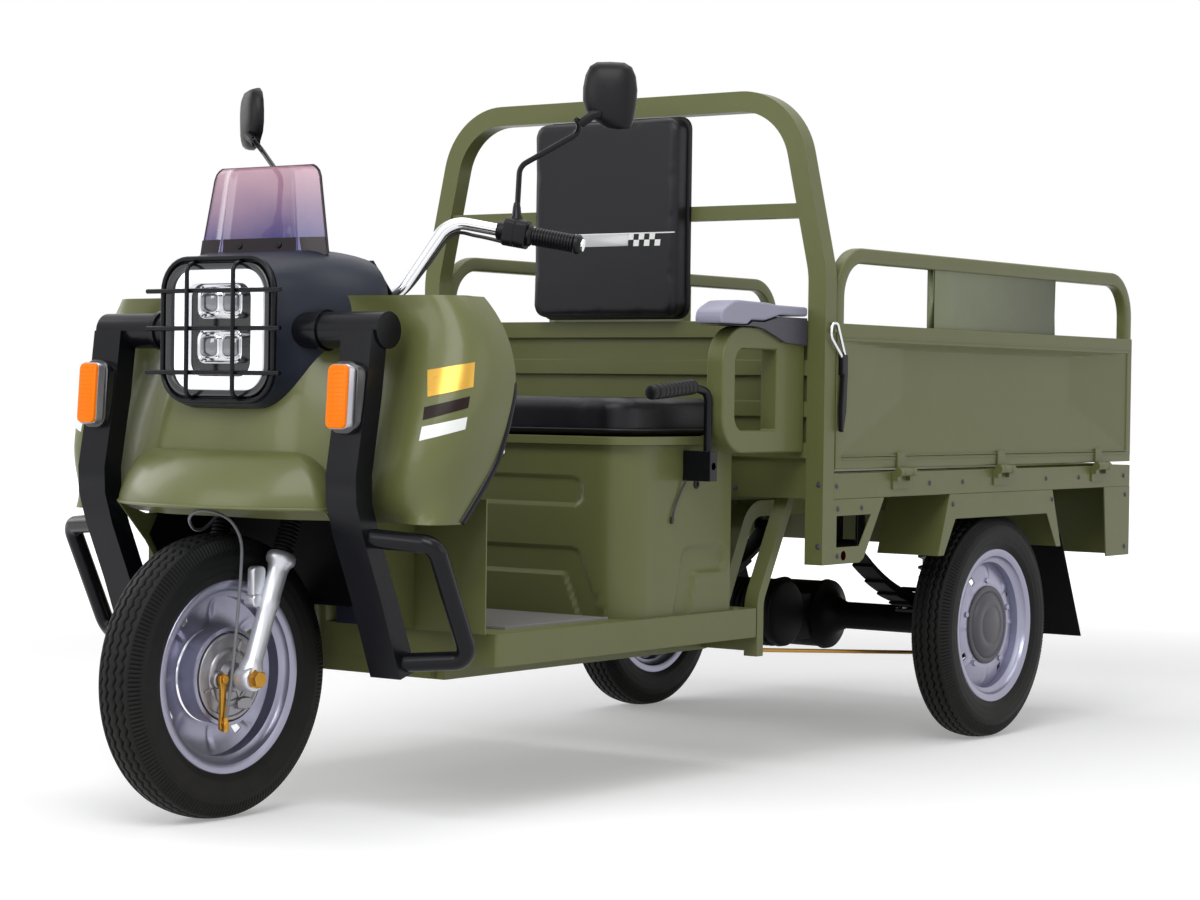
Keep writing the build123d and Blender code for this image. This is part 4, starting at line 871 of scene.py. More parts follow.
def build_mirrors():
    """Each mirror is turned in towards the rider."""
    turn = math.radians(30)
    across = Vector((math.cos(turn), math.sin(turn), 0))
    out = Vector((math.sin(turn), -math.cos(turn), 0))
    up = Vector((0, 0, 1))
    centre = spot(430, 528, 1254)
    outline = [(-24, 59), (0, 59.5), (25, 58), (38, 50), (45, 34), (48, 10), (46, -18), (42, -44),
               (35, -57), (14, -59), (-4, -56), (-26, -44), (-42, -28), (-48, -8), (-48, 14),
               (-44, 36), (-36, 52)]
    housing = Shape().domed(centre, across, up, outline,
                            [(0.95, 0.95, -11), (1, 1, -9), (1, 1, -4), (0.97, 0.97, 3),
                             (0.86, 0.88, 10), (0.66, 0.7, 15), (0.4, 0.44, 17.5),
                             (0.15, 0.16, 18.3)])
    boss = centre + across * (-26 * mm) + up * (-34 * mm)
    foot = boss - across * (24 * mm) + up * (-16 * mm) + out * (6 * mm)
    housing.tube([foot, boss + out * (14 * mm), boss + across * (8 * mm) + out * (9 * mm)],
                 [(a, b * 0.8) for a, b in circle(10, 12)])
    finished(housing.mirrored_too(), "mirror_shells", moulded_black, "steering",
             ("mirrors",), smooth=55)
    glass = Shape().domed(centre - out * (11.4 * mm), across, up, outline,
                          [(0.9, 0.9, 0), (0.9, 0.9, 0.9)])
    finished(glass.mirrored_too(), "mirror_glasses", mirror_glass, "steering")
    root = bar_hand + bar_heading * (27 * mm) + up * (24 * mm)
    stem = Shape().tube(bent([root, spot(286, 458, 1130), spot(392, 512, 1196), foot], 24),
                        circle(5, 12))
    stem.lathe(root - up * (4 * mm), up,
               [(0, 0), (0, 11), (8, 11), (12, 8.5), (26, 7), (34, 5.2), (34, 0)], 20)
    finished(stem.mirrored_too(), "mirror_stems", frame_black, "steering")


def build_handlebar():
    right_half = [bar_end, bar_hand, bar_shoulder, bar_foot]
    route = right_half + [Vector((-p.x, p.y, p.z)) for p in reversed(right_half)]
    bar = Shape().tube(bent(route, [50, 50, 42, 42, 50, 50], 6), circle(11, 24))
    finished(bar, "chrome_bar", chrome, "steering", ("handlebar",))
    clamp = Shape().block(-42, 42, 277, 329, 868, 916)
    finished(clamp, "bar_clamp", cast_alloy, "steering", bevel=6)
    profile = [(49, 11.3), (49, 19), (53, 19.4), (55, 17)]
    for rib in range(14):
        along = 58 + rib * 5.4
        profile += [(along, 14.6), (along + 1.2, 16.4), (along + 3.6, 16.4), (along + 4.6, 14.6)]
    profile += [(136, 17.4), (142, 17.6), (145, 15.5), (146, 11.3)]
    grip = Shape().lathe(bar_hand, bar_heading, profile, 28, closed=True)
    grip.lathe(bar_hand, bar_heading,
               [(140, 0), (140, 15), (145, 15), (147.6, 12.5), (148.6, 7), (148.8, 0)], 28)
    finished(grip.mirrored_too(), "hand_grips", moulded_black, "steering",
             ("grips_and_switches",))
    build_switches()


def build_switches():
    """The switch housings beside the grips, and the cables that run down behind the bar."""
    side = bar_heading.cross(Vector((0, 0, 1))).normalized()
    up = side.cross(bar_heading).normalized()
    switch = Shape().domed(bar_hand + bar_heading * (6 * mm), up, side,
                           rounded_rectangle(50, 46, 12, 4),
                           [(0.94, 0.94, 0), (1, 1, 2), (1, 1, 19), (0.96, 0.96, 20),
                            (0.96, 0.96, 21.5), (1, 1, 22.5), (1, 1, 40), (0.94, 0.94, 42)])
    for along, size in ((14, 9), (26, 12), (38, 8)):
        switch.domed(bar_hand + bar_heading * (along * mm) - side * (23 * mm), bar_heading, up,
                     rounded_rectangle(size, 13, 3, 3), [(1, 1, -6), (1, 1, 3), (0.8, 0.8, 4)])
    switch.lathe(bar_hand + bar_heading * (27 * mm), up,
                 [(0, 0), (0, 9), (25, 9), (26, 7), (26, 0)], 16)
    switch.lathe(bar_hand, bar_heading, [(-8, 11.2), (-8, 15), (-4, 17), (8, 17), (8, 11.2)], 20,
                 closed=True)
    finished(switch.mirrored_too(), "switch_boxes", moulded_black, "steering",
             bevel=0.8, smooth=40)
    leaving = bar_hand + bar_heading * (10 * mm) + Vector((0, 0, -20 * mm))
    run = smooth_curve([leaving, spot(226, 414, 1006), spot(188, 392, 1008), spot(162, 356, 952),
                        spot(140, 326, 906), spot(112, 318, 894), spot(60, 318, 892)])
    cable = Shape().tube(run, circle(3.2, 8))
    finished(cable.mirrored_too(), "bar_cables", cable_black, "steering")


def build_turn_lamps():
    """Upright lamps on the crash bar, leaning with it, each lens with fine ribs across."""
    up = Vector((0, 8, 120)).normalized()
    place = spot(292, -28, 720)
    across = (1, 0, 0)
    black = Shape().domed(place, across, up, rounded_rectangle(60, 120, 22, 6),
                          [(1, 1, -46), (1, 1, -24), (0.97, 0.985, -21), (0.9, 0.96, -20)])
    silver = Shape().domed(place, across, up, rounded_rectangle(46, 108, 11, 5),
                           [(1, 1, -22), (1, 1, -7), (0.97, 0.985, -5.5), (0.9, 0.95, -5.5)])
    lens = Shape().domed(place, across, up, rounded_rectangle(42, 104, 9, 5),
                         [(1, 1, -8), (1, 1, -2.6), (0.96, 0.98, -0.9), (0.86, 0.93, 0)])
    for k in range(-6, 7):
        lens.domed(place + up * (k * 7.6 * mm), across, up, rounded_rectangle(34, 2.6, 1.2, 2),
                   [(1, 1, -0.6), (0.99, 0.8, 0.5), (0.97, 0.4, 0.7)])
    finished(black.mirrored_too(), "turn_lamp_housings", lamp_black,
             stands_for=("turn_lamps",))
    finished(silver.mirrored_too(), "turn_lamp_frames", lamp_silver)
    finished(lens.mirrored_too(), "turn_lamp_lenses", amber)


def build_hood():
    """The bulged wheel hood with its rolled lip."""
    levels, columns, sheet = 12, 32, 3
    foot, height = 533, 93
    top, bottom = [], []
    for level in range(levels + 1):
        turn = level / levels * math.pi / 2
        rise = math.sin(turn) ** 1.25
        inset = (1 - math.cos(turn)) ** 0.9
        z = foot + height * rise
        half = 240 - 82 * inset
        front = -90 + 84 * inset
        corner = 2 + 12 * inset
        depth = corner - front
        radius = (half * half + depth * depth) / (2 * depth)
        back = 62 - 40 * inset
        flank = [(half, back + (corner - back) * share) for share in (0.5, 0.0)]
        bow = [-half + 2 * half * k / columns for k in range(columns + 1)]
        outer = [(-x, s) for x, s in reversed(flank)]
        outer += [(x, front + radius - math.sqrt(radius * radius - x * x)) for x in bow] + flank
        top.append([spot(x, s, z) for x, s in outer])
        bottom.append([spot(x * (1 - sheet / half), s + sheet, z - 1.5 * rise) for x, s in outer])
    finished(shell(top, bottom), "wheel_hood", green_plastic,
             stands_for=("front_hood",), smooth=60)
    lip = Shape().tube([p + Vector((0, 0, -0.5 * mm)) for p in top[0]], circle(3.2, 10))
    finished(lip, "hood_lip", green_plastic, smooth=60)


def build_pod_trim():
    run = smooth_curve([spot(262, 228, 889), spot(330, 229, 889), spot(372, 229, 886),
                        spot(397, 231, 872), spot(412, 233, 845), spot(432, 237, 795),
                        spot(450, 240, 742), spot(453, 226, 690), spot(449, 206, 628),
                        spot(444, 190, 596), spot(437, 160, 552), spot(430, 132, 514)], 5)
    trim = Shape().tube(run, [(a, b * 0.75) for a, b in circle(6, 12)])
    finished(trim.mirrored_too(), "shield_edge_trim", frame_black)


def surface_patch(node, corners, sign, rows=6, columns=14, proud=0.7, sunk=0.3):
    """A thin patch laid on a panel's rounded front corner, from its (x, station, z) corners."""
    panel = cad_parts[node].data
    tree = BVHTree.FromPolygons([v.co.copy() for v in panel.vertices],
                                [tuple(p.vertices) for p in panel.polygons])
    outward = Vector((sign * 0.72, -0.69, 0)).normalized()
    a, b, c, d = (spot(sign * x, station, z) for x, station, z in corners)
    top, bottom = [], []
    for i in range(rows + 1):
        hits = []
        for j in range(columns + 1):
            place = a.lerp(b, j / columns).lerp(d.lerp(c, j / columns), i / rows)
            hit, normal, _, _ = tree.ray_cast(place + outward * 0.3, -outward)
            hits.append((hit, -normal if normal.dot(outward) < 0 else normal))
        top.append([hit + normal * (proud * mm) for hit, normal in hits])
        bottom.append([hit - normal * (sunk * mm) for hit, normal in hits])
    return shell(top, bottom)


def build_stripes():
    stripes = (("gold_plate", stripe_gold,
                [(380, 99, 765), (442, 145, 779), (449, 133, 738), (394, 83, 721)]),
               ("black_stripe", stripe_black,
                [(392, 77, 704), (449, 125, 723), (450, 119, 704), (396, 69, 683)]),
               ("white_stripe", stripe_white,
                [(397, 66, 672), (451, 116, 689), (451, 111, 669), (397, 59, 649)]))
    for name, material, corners in stripes:
        for side, sign in both_sides:
            finished(surface_patch("leg_shield", corners, sign), f"{side}_{name}", material,
                     smooth=60)


# ---------------------------------------------------------------- fork and front brake
rake = math.radians(21.2)
fork_up = Vector((0, math.sin(rake), math.cos(rake)))
fork_feet = [Vector((x * mm, front_axle.y, front_axle.z)) for x in (-78, 78)]


def build_fork():
    legs, gaiters = Shape(), Shape()
    folds = [(223, 12)]
    for fold in range(16):
        folds += [(225 + fold * 7, 15.2), (227.5 + fold * 7, 18.6), (229.5 + fold * 7, 18.6)]
    folds += [(338, 15), (344, 15), (344, 12)]
    for foot in fork_feet:
        legs.lathe(foot, fork_up,
                   [(-15, 0), (-15, 16), (-10, 19), (-2, 20.5), (20, 20.5), (30, 17.4), (34, 16.2),
                    (120, 16.2), (126, 17.4), (140, 17.6), (146, 16.6), (190, 17.4), (200, 19.5),
                    (206, 25), (212, 26), (218, 25.5), (223, 22), (224, 14), (224, 0)], 40)
        legs.lathe(foot, (1, 0, 0), both_ways([(-16, 11), (-16, 20), (-13, 22)]), 32, closed=True)
        gaiters.lathe(foot, fork_up, folds, 32, closed=True)
    legs.domed(spot(62, 34, 400), *facing_left, rounded_rectangle(30, 60, 8, 3),
               [(1, 1, -6), (1, 1, 6), (0.9, 0.94, 8)])
    legs.domed(spot(62, 26, 372), *facing_left, rounded_rectangle(22, 22, 8, 3),
               [(1, 1, -10), (1, 1, 10), (0.86, 0.86, 12)])
    finished(legs, "fork_sliders", fork_silver, "steering", ("fork_legs",))
    finished(gaiters, "fork_gaiters", moulded_black, "steering")
    nuts = Shape()
    for side in (-1, 1):
        end = Vector((side * 98 * mm, front_axle.y, front_axle.z))
        nuts.lathe(end, (side, 0, 0), [(-3, 0), (-3, 17), (-0.6, 17), (0, 14.8), (8.6, 14.8),
                                       (9.6, 13.4), (9.6, 8), (10, 7.4), (10, 0)], 6)
    nuts.lathe(front_axle, (1, 0, 0), both_ways([(-98, 0), (-98, 9.9)]), 32)
    finished(nuts, "axle_and_nuts", gold_zinc, "steering", ("front_axle",), smooth=30)


def build_front_brake():
    base = Vector((34 * mm, front_axle.y, front_axle.z))
    plate = Shape().lathe(base, (1, 0, 0),
                          [(-8, 10.5), (-8, 74), (1.6, 74), (3, 72.6), (3, 68), (0.8, 66), (0.8, 50),
                           (3, 48.5), (4.4, 46), (4.4, 41), (2.6, 39), (3, 27), (17, 23),
                           (17, 10.5)], 96, closed=True)
    rib_start, rib_end = 28, 66
    for turn in (20, 65, 200, 245, 300):
        angle = math.radians(turn)
        out = spoke(angle)
        side = Vector((0, -out.z, out.y))
        middle = base + out * ((rib_start + rib_end) / 2 * mm) + Vector((1.5 * mm, 0, 0))
        plate.domed(middle, out, side, rounded_rectangle(rib_end - rib_start, 5, 2, 3),
                    [(1, 1, -2), (1, 0.6, 3)])
    plate.domed(spot(37, -34, 240), *facing_left, circle(15, 24),
                [(1, 1, -4), (1, 1, 8), (0.85, 0.85, 10)])
    plate.domed(spot(37, 30, 196), *facing_left, rounded_rectangle(34, 20, 8, 4),
                [(1, 1, -4), (1, 1, 5), (0.9, 0.86, 7)])
    finished(plate, "brake_plate_casting", cast_alloy, "steering",
             ("front_brake_plate",))
    left_edge = [(-9, 6), (-10, 0), (-8, -8), (-6, -20), (-6, -62), (-8, -76), (-7, -84)]
    right_edge = [(-a, b) for a, b in reversed(left_edge)]
    arm = Shape().domed(spot(49, -34, 242), *facing_left,
                        left_edge + [(0, -88)] + right_edge + [(0, 10)],
                        [(1, 1, 0), (1, 1, 5), (0.86, 0.97, 6)])
    arm.lathe(spot(46, -34, 242), (1, 0, 0), [(0, 0), (0, 8), (13, 8), (14, 6.5), (14, 0)], 6)
    arm.lathe(spot(50, -34, 166), (1, 0, 0), [(0, 0), (0, 7.5), (12, 7.5), (13, 6.4), (13, 0)], 6)
    arm.tube([spot(59.5, -34, 178), spot(59.5, -34, 154)], circle(4.6, 12), up=(1, 0, 0))
    finished(arm, "brake_arm", gold_zinc, "steering", smooth=30)


def build_front_cable():
    """The front brake's cable, swept along the route of its construction."""
    route = [spot(*place) for place in
             ((-54, 72, 524), (-60, 36, 491), (-58, 6, 489), (-46, -18, 508), (-18, -27, 522),
              (16, -22, 521), (42, -8, 506), (55, 3, 472), (58, 0, 420), (59, -6, 365),
              (59, -12, 310), (59, -19, 255), (59.5, -27, 205), (59.5, -34, 170))]
    cable = Shape().tube(smooth_curve(route, 8), circle(2.8, 12), up=(1, 0, 0))
    finished(cable, "brake_cable_sleeve", cable_grey, "steering",
             ("front_brake_cable",), smooth=60)


# ---------------------------------------------------------------- cab floor, seat and controls
def near_line(place, line):
    """Distance from a place to a row of straight runs, in one plane."""
    best = 1e9
    for first, second in zip(line, line[1:]):
        run = (second[0] - first[0], second[1] - first[1])
        offset = (place[0] - first[0], place[1] - first[1])
        share = (offset[0] * run[0] + offset[1] * run[1]) / (run[0] ** 2 + run[1] ** 2)
        share = min(1.0, max(0.0, share))
        best = min(best, math.hypot(offset[0] - share * run[0], offset[1] - share * run[1]))
    return best


def pressed(place, line, half_width, depth, wall=7.0):
    """Depth of a channel pressed along a line, with sloping walls."""
    inside = half_width - near_line(place, line)
    return depth * min(1.0, max(0.0, inside / wall))


def build_seat_box():
    """The box under the seat, with channels pressed into its front and its sides."""
    half, front, rear, corner, low, high, sheet = 385, 655, 1000, 70, 320, 636, 2.5
    flank = [(-half, s, (-1, 0)) for s in np.arange(rear, front + corner, -7.0)]
    for k in range(11):
        turn = math.radians(9 * k)
        flank.append((-half + corner - corner * math.cos(turn),
                      front + corner - corner * math.sin(turn), (-math.cos(turn), -math.sin(turn))))
    face = [(x, front, (0, -1)) for x in np.arange(-half + corner + 6, half - corner, 6.0)]
    plan = flank + face + [(-x, s, (-nx, ny)) for x, s, (nx, ny) in reversed(flank)]
    front_upper = [(-262, 550), (262, 550)]
    front_lower = [(-306, 322), (-262, 422), (262, 422), (306, 322)]
    side_lower = [(838, 322), (862, 421), (960, 421)]
    top, bottom = [], []
    for z in np.arange(low, high + 0.1, 3.95):
        outer, inner = [], []
        for x, s, (nx, ny) in plan:
            depth = 0.0
            if s < front + 40 and abs(x) < 350:
                depth = max(pressed((x, z), front_upper, 29, 7),
                            pressed((x, z), front_lower, 27, 7))
            elif abs(x) > half - 12 and s > 730:
                depth = pressed((s, z), side_lower, 27, 6)
            outer.append(spot(x - nx * depth, s - ny * depth, z))
            inner.append(spot(x - nx * (depth + sheet), s - ny * (depth + sheet), z))
        top.append(outer)
        bottom.append(inner)
    box = shell(top, bottom)
    box.block(-half + 1, half - 1, rear - 3, rear, low, high)
    finished(box, "seat_box_pressing", green_paint, stands_for=("seat_box",),
             smooth=24)
    lock = Shape().lathe(spot(96, front + 1, 620), (0, -1, 0),
                         [(0, 0), (0, 10.5), (3, 10.5), (4, 9.4), (4, 7), (3.2, 6.4), (3.2, 0)], 32)
    finished(lock, "seat_lock", chrome)
    lock_slot = Shape().block(95.2, 96.8, front - 3.0, front - 1, 615.5, 624.5)
    finished(lock_slot, "lock_slot", lamp_black)
    grommet = Shape().lathe(spot(half - 0.5, 881, 563), (1, 0, 0),
                            [(0, 0), (0, 9), (2, 9), (3, 7.5), (3, 4), (1, 3.4), (1, 0)], 24)
    finished(grommet, "cable_grommet", moulded_black)


def coordinates(mesh):
    values = np.empty(len(mesh.vertices) * 3)
    mesh.vertices.foreach_get("co", values)
    return values.reshape(-1, 3)


def puffed(node, name, shrink, voxel, cap, body, pressure):
    """Blow up a slightly small copy of a pad with cloth, as its filling does."""
    low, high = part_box(node)
    centre, size = (low + high) / 2, high - low
    frames = 20
    mesh, work = construction_copy(node)
    for vert in work.verts:
        for axis in range(3):
            share = 1 - 2 * shrink * mm / size[axis]
            vert.co[axis] = centre[axis] + (vert.co[axis] - centre[axis]) * share
    put_back(work, mesh)
    pad = linked(name, mesh)
    remesh = pad.modifiers.new("remesh", "REMESH")
    remesh.mode = "VOXEL"
    remesh.voxel_size = voxel * mm
    solid = evaluated_mesh(pad)
    pad.modifiers.clear()
    pad.data = solid
    start = coordinates(solid)
    cloth = pad.modifiers.new("cloth", "CLOTH")
    cloth.settings.use_pressure = True
    cloth.settings.uniform_pressure_force = pressure
    cloth.settings.effector_weights.gravity = 0.0
    cloth.point_cache.frame_end = frames
    for step in range(1, frames + 1):
        scene.frame_set(step)
    blown = evaluated_mesh(pad)
    pad.modifiers.clear()
    pad.data = blown
    move = coordinates(blown) - start
    reach = np.linalg.norm(move, axis=1, keepdims=True)
    move *= np.minimum(1.0, cap * mm / np.maximum(reach, 1e-9))
    place = np.clip(start + move, np.array(low), np.array(high))
    blown.vertices.foreach_set("co", place.ravel())
    scene.frame_set(1)
    dressed(pad, seat_cover, body, (node,), subdivide=1, smooth=80)


def build_seat():
    puffed("seat_cushion", "seat_pad", 3.0, 7.0, 8.0, "seat", 4.0)
    plan = rounded_rectangle(756, 336, 55, 8)
    welt = Shape().tube([spot(a, 824.5 + b, 664) for a, b in plan], circle(2.6, 8), closed=True)
    finished(welt, "seat_welt", seat_cover, "seat", smooth=60)


def build_backrest():
    """The backrest on its board, with a plain thin band, a blank patch and a row of checks."""
    puffed("backrest", "backrest_pad", 2.0, 6.0, 4.0, "chassis", 3.0)
    board = Shape().domed(spot(0, 1148, 1083), *facing_front, rounded_rectangle(366, 404, 26, 6),
                          [(1, 1, 0.4), (1, 1, 8), (0.99, 0.99, 9)])
    finished(board, "backrest_board", moulded_black)
    band = Shape().domed(spot(0, backrest_face, 1052), *facing_front,
                         rounded_rectangle(352, 2.4, 1.1, 2),
                         [(1, 1, -2), (1, 1, 1.6), (0.998, 0.6, 1.9)])
    finished(band, "backrest_seam", stripe_white)
    patch = Shape().domed(spot(6, backrest_face, 1039), *facing_front,
                          rounded_rectangle(116, 24, 2, 2),
                          [(1, 1, -2), (1, 1, 1.6), (0.99, 0.96, 1.9)])
    finished(patch, "backrest_patch", patch_silver)
    checks = Shape()
    size, lean, half_height = 13.0, 1.5, 6.2
    check = [(-size / 2, -half_height), (size / 2, -half_height),
             (size / 2 + lean, half_height), (-size / 2 + lean, half_height)]
    for column in range(6):
        checks.domed(spot(70 + column * size, backrest_face, 1045.5 - column % 2 * size),
                     *facing_front, check, [(1, 1, -2), (1, 1, 1.7)])
    finished(checks, "backrest_checks", stripe_white)


def build_armrests():
    top = Shape().prism([(838, 863), (838, 879), (843, 888), (856, 896), (880, 906), (900, 908),
                         (1000, 906), (1030, 903), (1137, 902), (1137, 884), (1040, 884),
                         (1005, 876), (985, 872), (940, 872), (925, 863)], 405, 467)
    finished(top.mirrored_too(), "armrest_tops", arm_light,
             stands_for=("armrest_pads",), bevel=5.0, smooth=20)
    under = Shape().prism([(842, 860.4), (930, 862), (945, 869), (985, 869), (1008, 874),
                           (1042, 881), (1137, 881), (1137, 860.4)], 406.5, 465.5)
    under.prism([(950, 866), (1137, 872), (1137, 828), (1060, 832), (1030, 842), (985, 856),
                 (950, 861)], 457.4, 465.8)
    finished(under.mirrored_too(), "armrest_bodies", arm_dark, bevel=2.5, smooth=20)


def build_parking_lever():
    x = 432
    grip_end = spot(x, 660, 733)
    heading = (spot(x, 800, 745) - grip_end).normalized()
    profile = [(0, 0), (0, 9), (2, 12.6), (7, 13.6), (12, 13.6), (13, 11.5), (16, 11.5), (17, 13.4)]
    for rib in range(9):
        along = 22 + rib * 12.5
        profile += [(along, 14), (along + 8, 14), (along + 9.5, 12.6), (along + 11, 12.6)]
    profile += [(136, 14), (140, 11), (140, 0)]
    grip = Shape().lathe(grip_end, heading, profile, 28)
    finished(grip, "parking_lever_grip", moulded_black,
             stands_for=("parking_brake_lever",))
    route = bent([spot(x, 796, 744.6), spot(x, 848, 735), spot(x, 848, 620)], 20)
    lever = Shape().tube(route, circle(8, 20), up=(1, 0, 0))
    lever.block(385, 446, 836, 860, 570, 626)
    lever.lathe(spot(446, 848, 598), (1, 0, 0), [(-2, 0), (-2, 9), (0, 9), (0, 0)], 6)
    finished(lever, "parking_lever_arm", frame_black, bevel=1.5)
    route = smooth_curve([spot(388, 850, 618), spot(391, 846, 596), spot(391, 838, 572),
                          spot(388.5, 824, 548), spot(388.5, 806, 520), spot(388.5, 800, 500)])
    pull = Shape().tube(route, circle(2.0, 8), up=(1, 0, 0))
    pull.lathe(spot(388.5, 800, 503), (0, -0.2, -1),
               [(0, 0), (0, 3.2), (6, 3.6), (12, 2.6), (13, 0)], 16)
    finished(pull, "lock_pull_rod", cable_black)


def build_floor_mat():
    """A mat with a raised edge and fine ribs across."""
    half, front, rear, edge = 352, 348, 652, 4
    mat = Shape().block(-half, half, front, rear, footboard_top, footboard_top + 2.4)
    mat.block(-half, half, front, front + edge, footboard_top, footboard_top + 5)
    for side in (-half, half - edge):
        mat.block(side, side + edge, front, rear, footboard_top, footboard_top + 5)
    finished(mat, "floor_mat", mat_grey, bevel=0.8)
    outline = [(0, 321), (1.2, 324.6), (3.8, 324.6), (5, 321)]
    rib = Shape().rings([[Vector((x, y, z)) * mm for y, z in outline] for x in (-346, 346)])
    repeated("mat_ribs", rib, [spot(0, front + 12 + i * 9.4, 0) for i in range(31)], mat_grey)


# ---------------------------------------------------------------- repeated small parts
def repeat_tree():
    """Set one small shape on every point, turned to the point's own facing direction."""
    tree = bpy.data.node_groups.new("repeat_on_points", "GeometryNodeTree")
    for label, kind in (("Points", "NodeSocketGeometry"), ("Piece", "NodeSocketObject"),
                        ("Finish", "NodeSocketMaterial")):
        tree.interface.new_socket(label, in_out="INPUT", socket_type=kind)
    tree.interface.new_socket("Result", in_out="OUTPUT", socket_type="NodeSocketGeometry")
    given = tree.nodes.new("NodeGroupInput").outputs
    result = tree.nodes.new("NodeGroupOutput").inputs
    source = tree.nodes.new("GeometryNodeObjectInfo")
    facing = add_node(tree, "GeometryNodeInputNamedAttribute", data_type="FLOAT_VECTOR")
    facing.inputs["Name"].default_value = "facing"
    turn = add_node(tree, "FunctionNodeAlignRotationToVector", axis="Z")
    place = tree.nodes.new("GeometryNodeInstanceOnPoints")
    real = tree.nodes.new("GeometryNodeRealizeInstances")
    dress = tree.nodes.new("GeometryNodeSetMaterial")
    for given_out, taken_in in ((given["Piece"], source.inputs["Object"]),
                                (facing.outputs["Attribute"], turn.inputs["Vector"]),
                                (given["Points"], place.inputs["Points"]),
                                (source.outputs["Geometry"], place.inputs["Instance"]),
                                (turn.outputs["Rotation"], place.inputs["Rotation"]),
                                (place.outputs["Instances"], real.inputs["Geometry"]),
                                (real.outputs["Geometry"], dress.inputs["Geometry"]),
                                (given["Finish"], dress.inputs["Material"]),
                                (dress.outputs["Geometry"], result["Result"])):
        tree.links.new(given_out, taken_in)
    return tree


repeat_group = repeat_tree()


def repeated(name, seed, places, material, body="chassis", facings=None):
    """One shape set at every place. Its own +Z turns to the matching facing."""
    seed_name = name + "_seed"
    seed_piece = bpy.data.objects.new(seed_name, mesh_of(seed, seed_name, merge=False))
    points = bpy.data.meshes.new(name)
    points.from_pydata(places, [], [])
    direction = points.attributes.new("facing", "FLOAT_VECTOR", "POINT")
    for i in range(len(places)):
        direction.data[i].vector = facings[i] if facings else (0, 0, 1)
    piece = linked(name, points)
    modifier = piece.modifiers.new("repeat", "NODES")
    modifier.node_group = repeat_group
    sockets = {item.name: item.identifier for item in repeat_group.interface.items_tree
               if item.in_out == "INPUT"}
    modifier[sockets["Piece"]] = seed_piece
    modifier[sockets["Finish"]] = material
    made = evaluated_mesh(piece)
    piece.modifiers.clear()
    piece.data = made
    bpy.data.objects.remove(seed_piece)
    dressed(piece, material, body, smooth=35)


def bolt_seed(across, head, washer):
    """A washer and a six-sided head, facing up."""
    middle, up = (0, 0, 0), (0, 0, 1)
    seed = Shape().lathe(middle, up, [(-1, 0), (-1, washer), (1, washer), (1.4, washer - 0.8),
                                      (1.4, 0)], 16)
    return seed.lathe(middle, up, [(1, 0), (1, across), (head - 0.8, across),
                                   (head, across - 1.2), (head, 0)], 6)


def build_bolts():
    places, facings = [], []
    on_side = [(station, 556) for station in (1194, 1560, 1700, 2080, 2240, 2470)]
    on_side += [(1200, 512), (1290, 512), (1200, 420), (1660, 510), (2110, 510), (2480, 512),
                (2480, 392)]
    on_front = [(493, 560), (493, 440), (110, 548), (300, 548)]
    for sign in (-1, 1):
        places += [spot(sign * bed_half, station, z) for station, z in on_side]
        facings += [(sign, 0, 0)] * len(on_side)
        places += [spot(sign * x, 1143, z) for x, z in on_front]
        facings += [(0, -1, 0)] * len(on_front)
    repeated("body_screws", bolt_seed(3.6, 3.4, 5.6), places, cap_grey,
             facings=facings)
    for side, sign in both_sides:
        turns = [math.radians(72 * k + 20) for k in range(5)]
        centre = spot(sign * 457, rear_axle, axle_height)
        spots = [centre + spoke(turn) * (96 * mm) for turn in turns]
        repeated(f"{side}_wheel_nuts", bolt_seed(6.5, 9, 9), spots, wheel_silver,
                 f"rear_{side}_wheel", [(sign, 0, 0)] * len(spots))


# ---------------------------------------------------------------- load bed
def gate_depth(z, from_end, end_slope):
    """How far a gate's sheet is pressed in: a flat field with a slope on every side."""
    first_step, deepest = 1.5, 17.0
    slopes = ((z - 618) / 108, from_end / end_slope, (838 - z) / 12)
    return max(0.0, min(deepest, *(first_step + (deepest - first_step) * share
                                   for share in slopes)))


def build_gate(name, node, body, place, first, last, end_width, columns, end_slope, posts, hinges,
               hinge_axis):
    """A drop side. place gives the spot of (along, out of the outer face, height)."""
    low_end, high_end = first + 24, last - 24
    foot, head, sheet, set_back = 613, 839, 2, 1.0
    top, bottom = [], []
    for z in list(np.arange(foot, head, 4.5)) + [head]:
        row = [(u, set_back + gate_depth(z, min(u - low_end, high_end - u), end_slope))
               for u in np.linspace(low_end, high_end, columns)]
        top.append([place(u, -depth, z) for u, depth in row])
        bottom.append([place(u, -depth - sheet, z) for u, depth in row])
    finished(shell(top, bottom), f"{name}_pressing", green_paint, body, (node,),
             smooth=16)

    def bar(shape, u0, u1, out0, out1, z0, z1):
        one, two = place(u0, out0, z0), place(u1, out1, z1)
        loop = [(one.y, one.z), (two.y, one.z), (two.y, two.z), (one.y, two.z)]
        shape.rings([[Vector((x, y, z)) for y, z in loop] for x in (one.x, two.x)])

    border = Shape()
    bar(border, first, last, -gate_wall, 0, 838.5, gate_top)
    bar(border, first, last, -gate_wall, 0, gate_foot, 612.5)
    for end in (first, last - end_width):
        bar(border, end, end + end_width, -gate_wall, 0, 611, 840)
    for post in posts:
        bar(border, post - 13, post + 13, -gate_wall, -20, 611, 840)
    finished(border, f"{name}_border", green_paint, body, bevel=2.2)
    straps = Shape()
    for u in hinges:
        bar(straps, u - 16, u + 16, 0, 4, gate_foot, 620)
        bar(straps, u - 16, u + 16, 0.5, 12, 586, 590.5)
        straps.lathe(place(u - 16, hinge_offset, hinge_height), hinge_axis,
                     [(0, 5.05), (0, 9), (32, 9), (32, 5.05)], 28, closed=True)
    finished(straps, f"{name}_hinge_straps", green_paint, body, bevel=0.8)


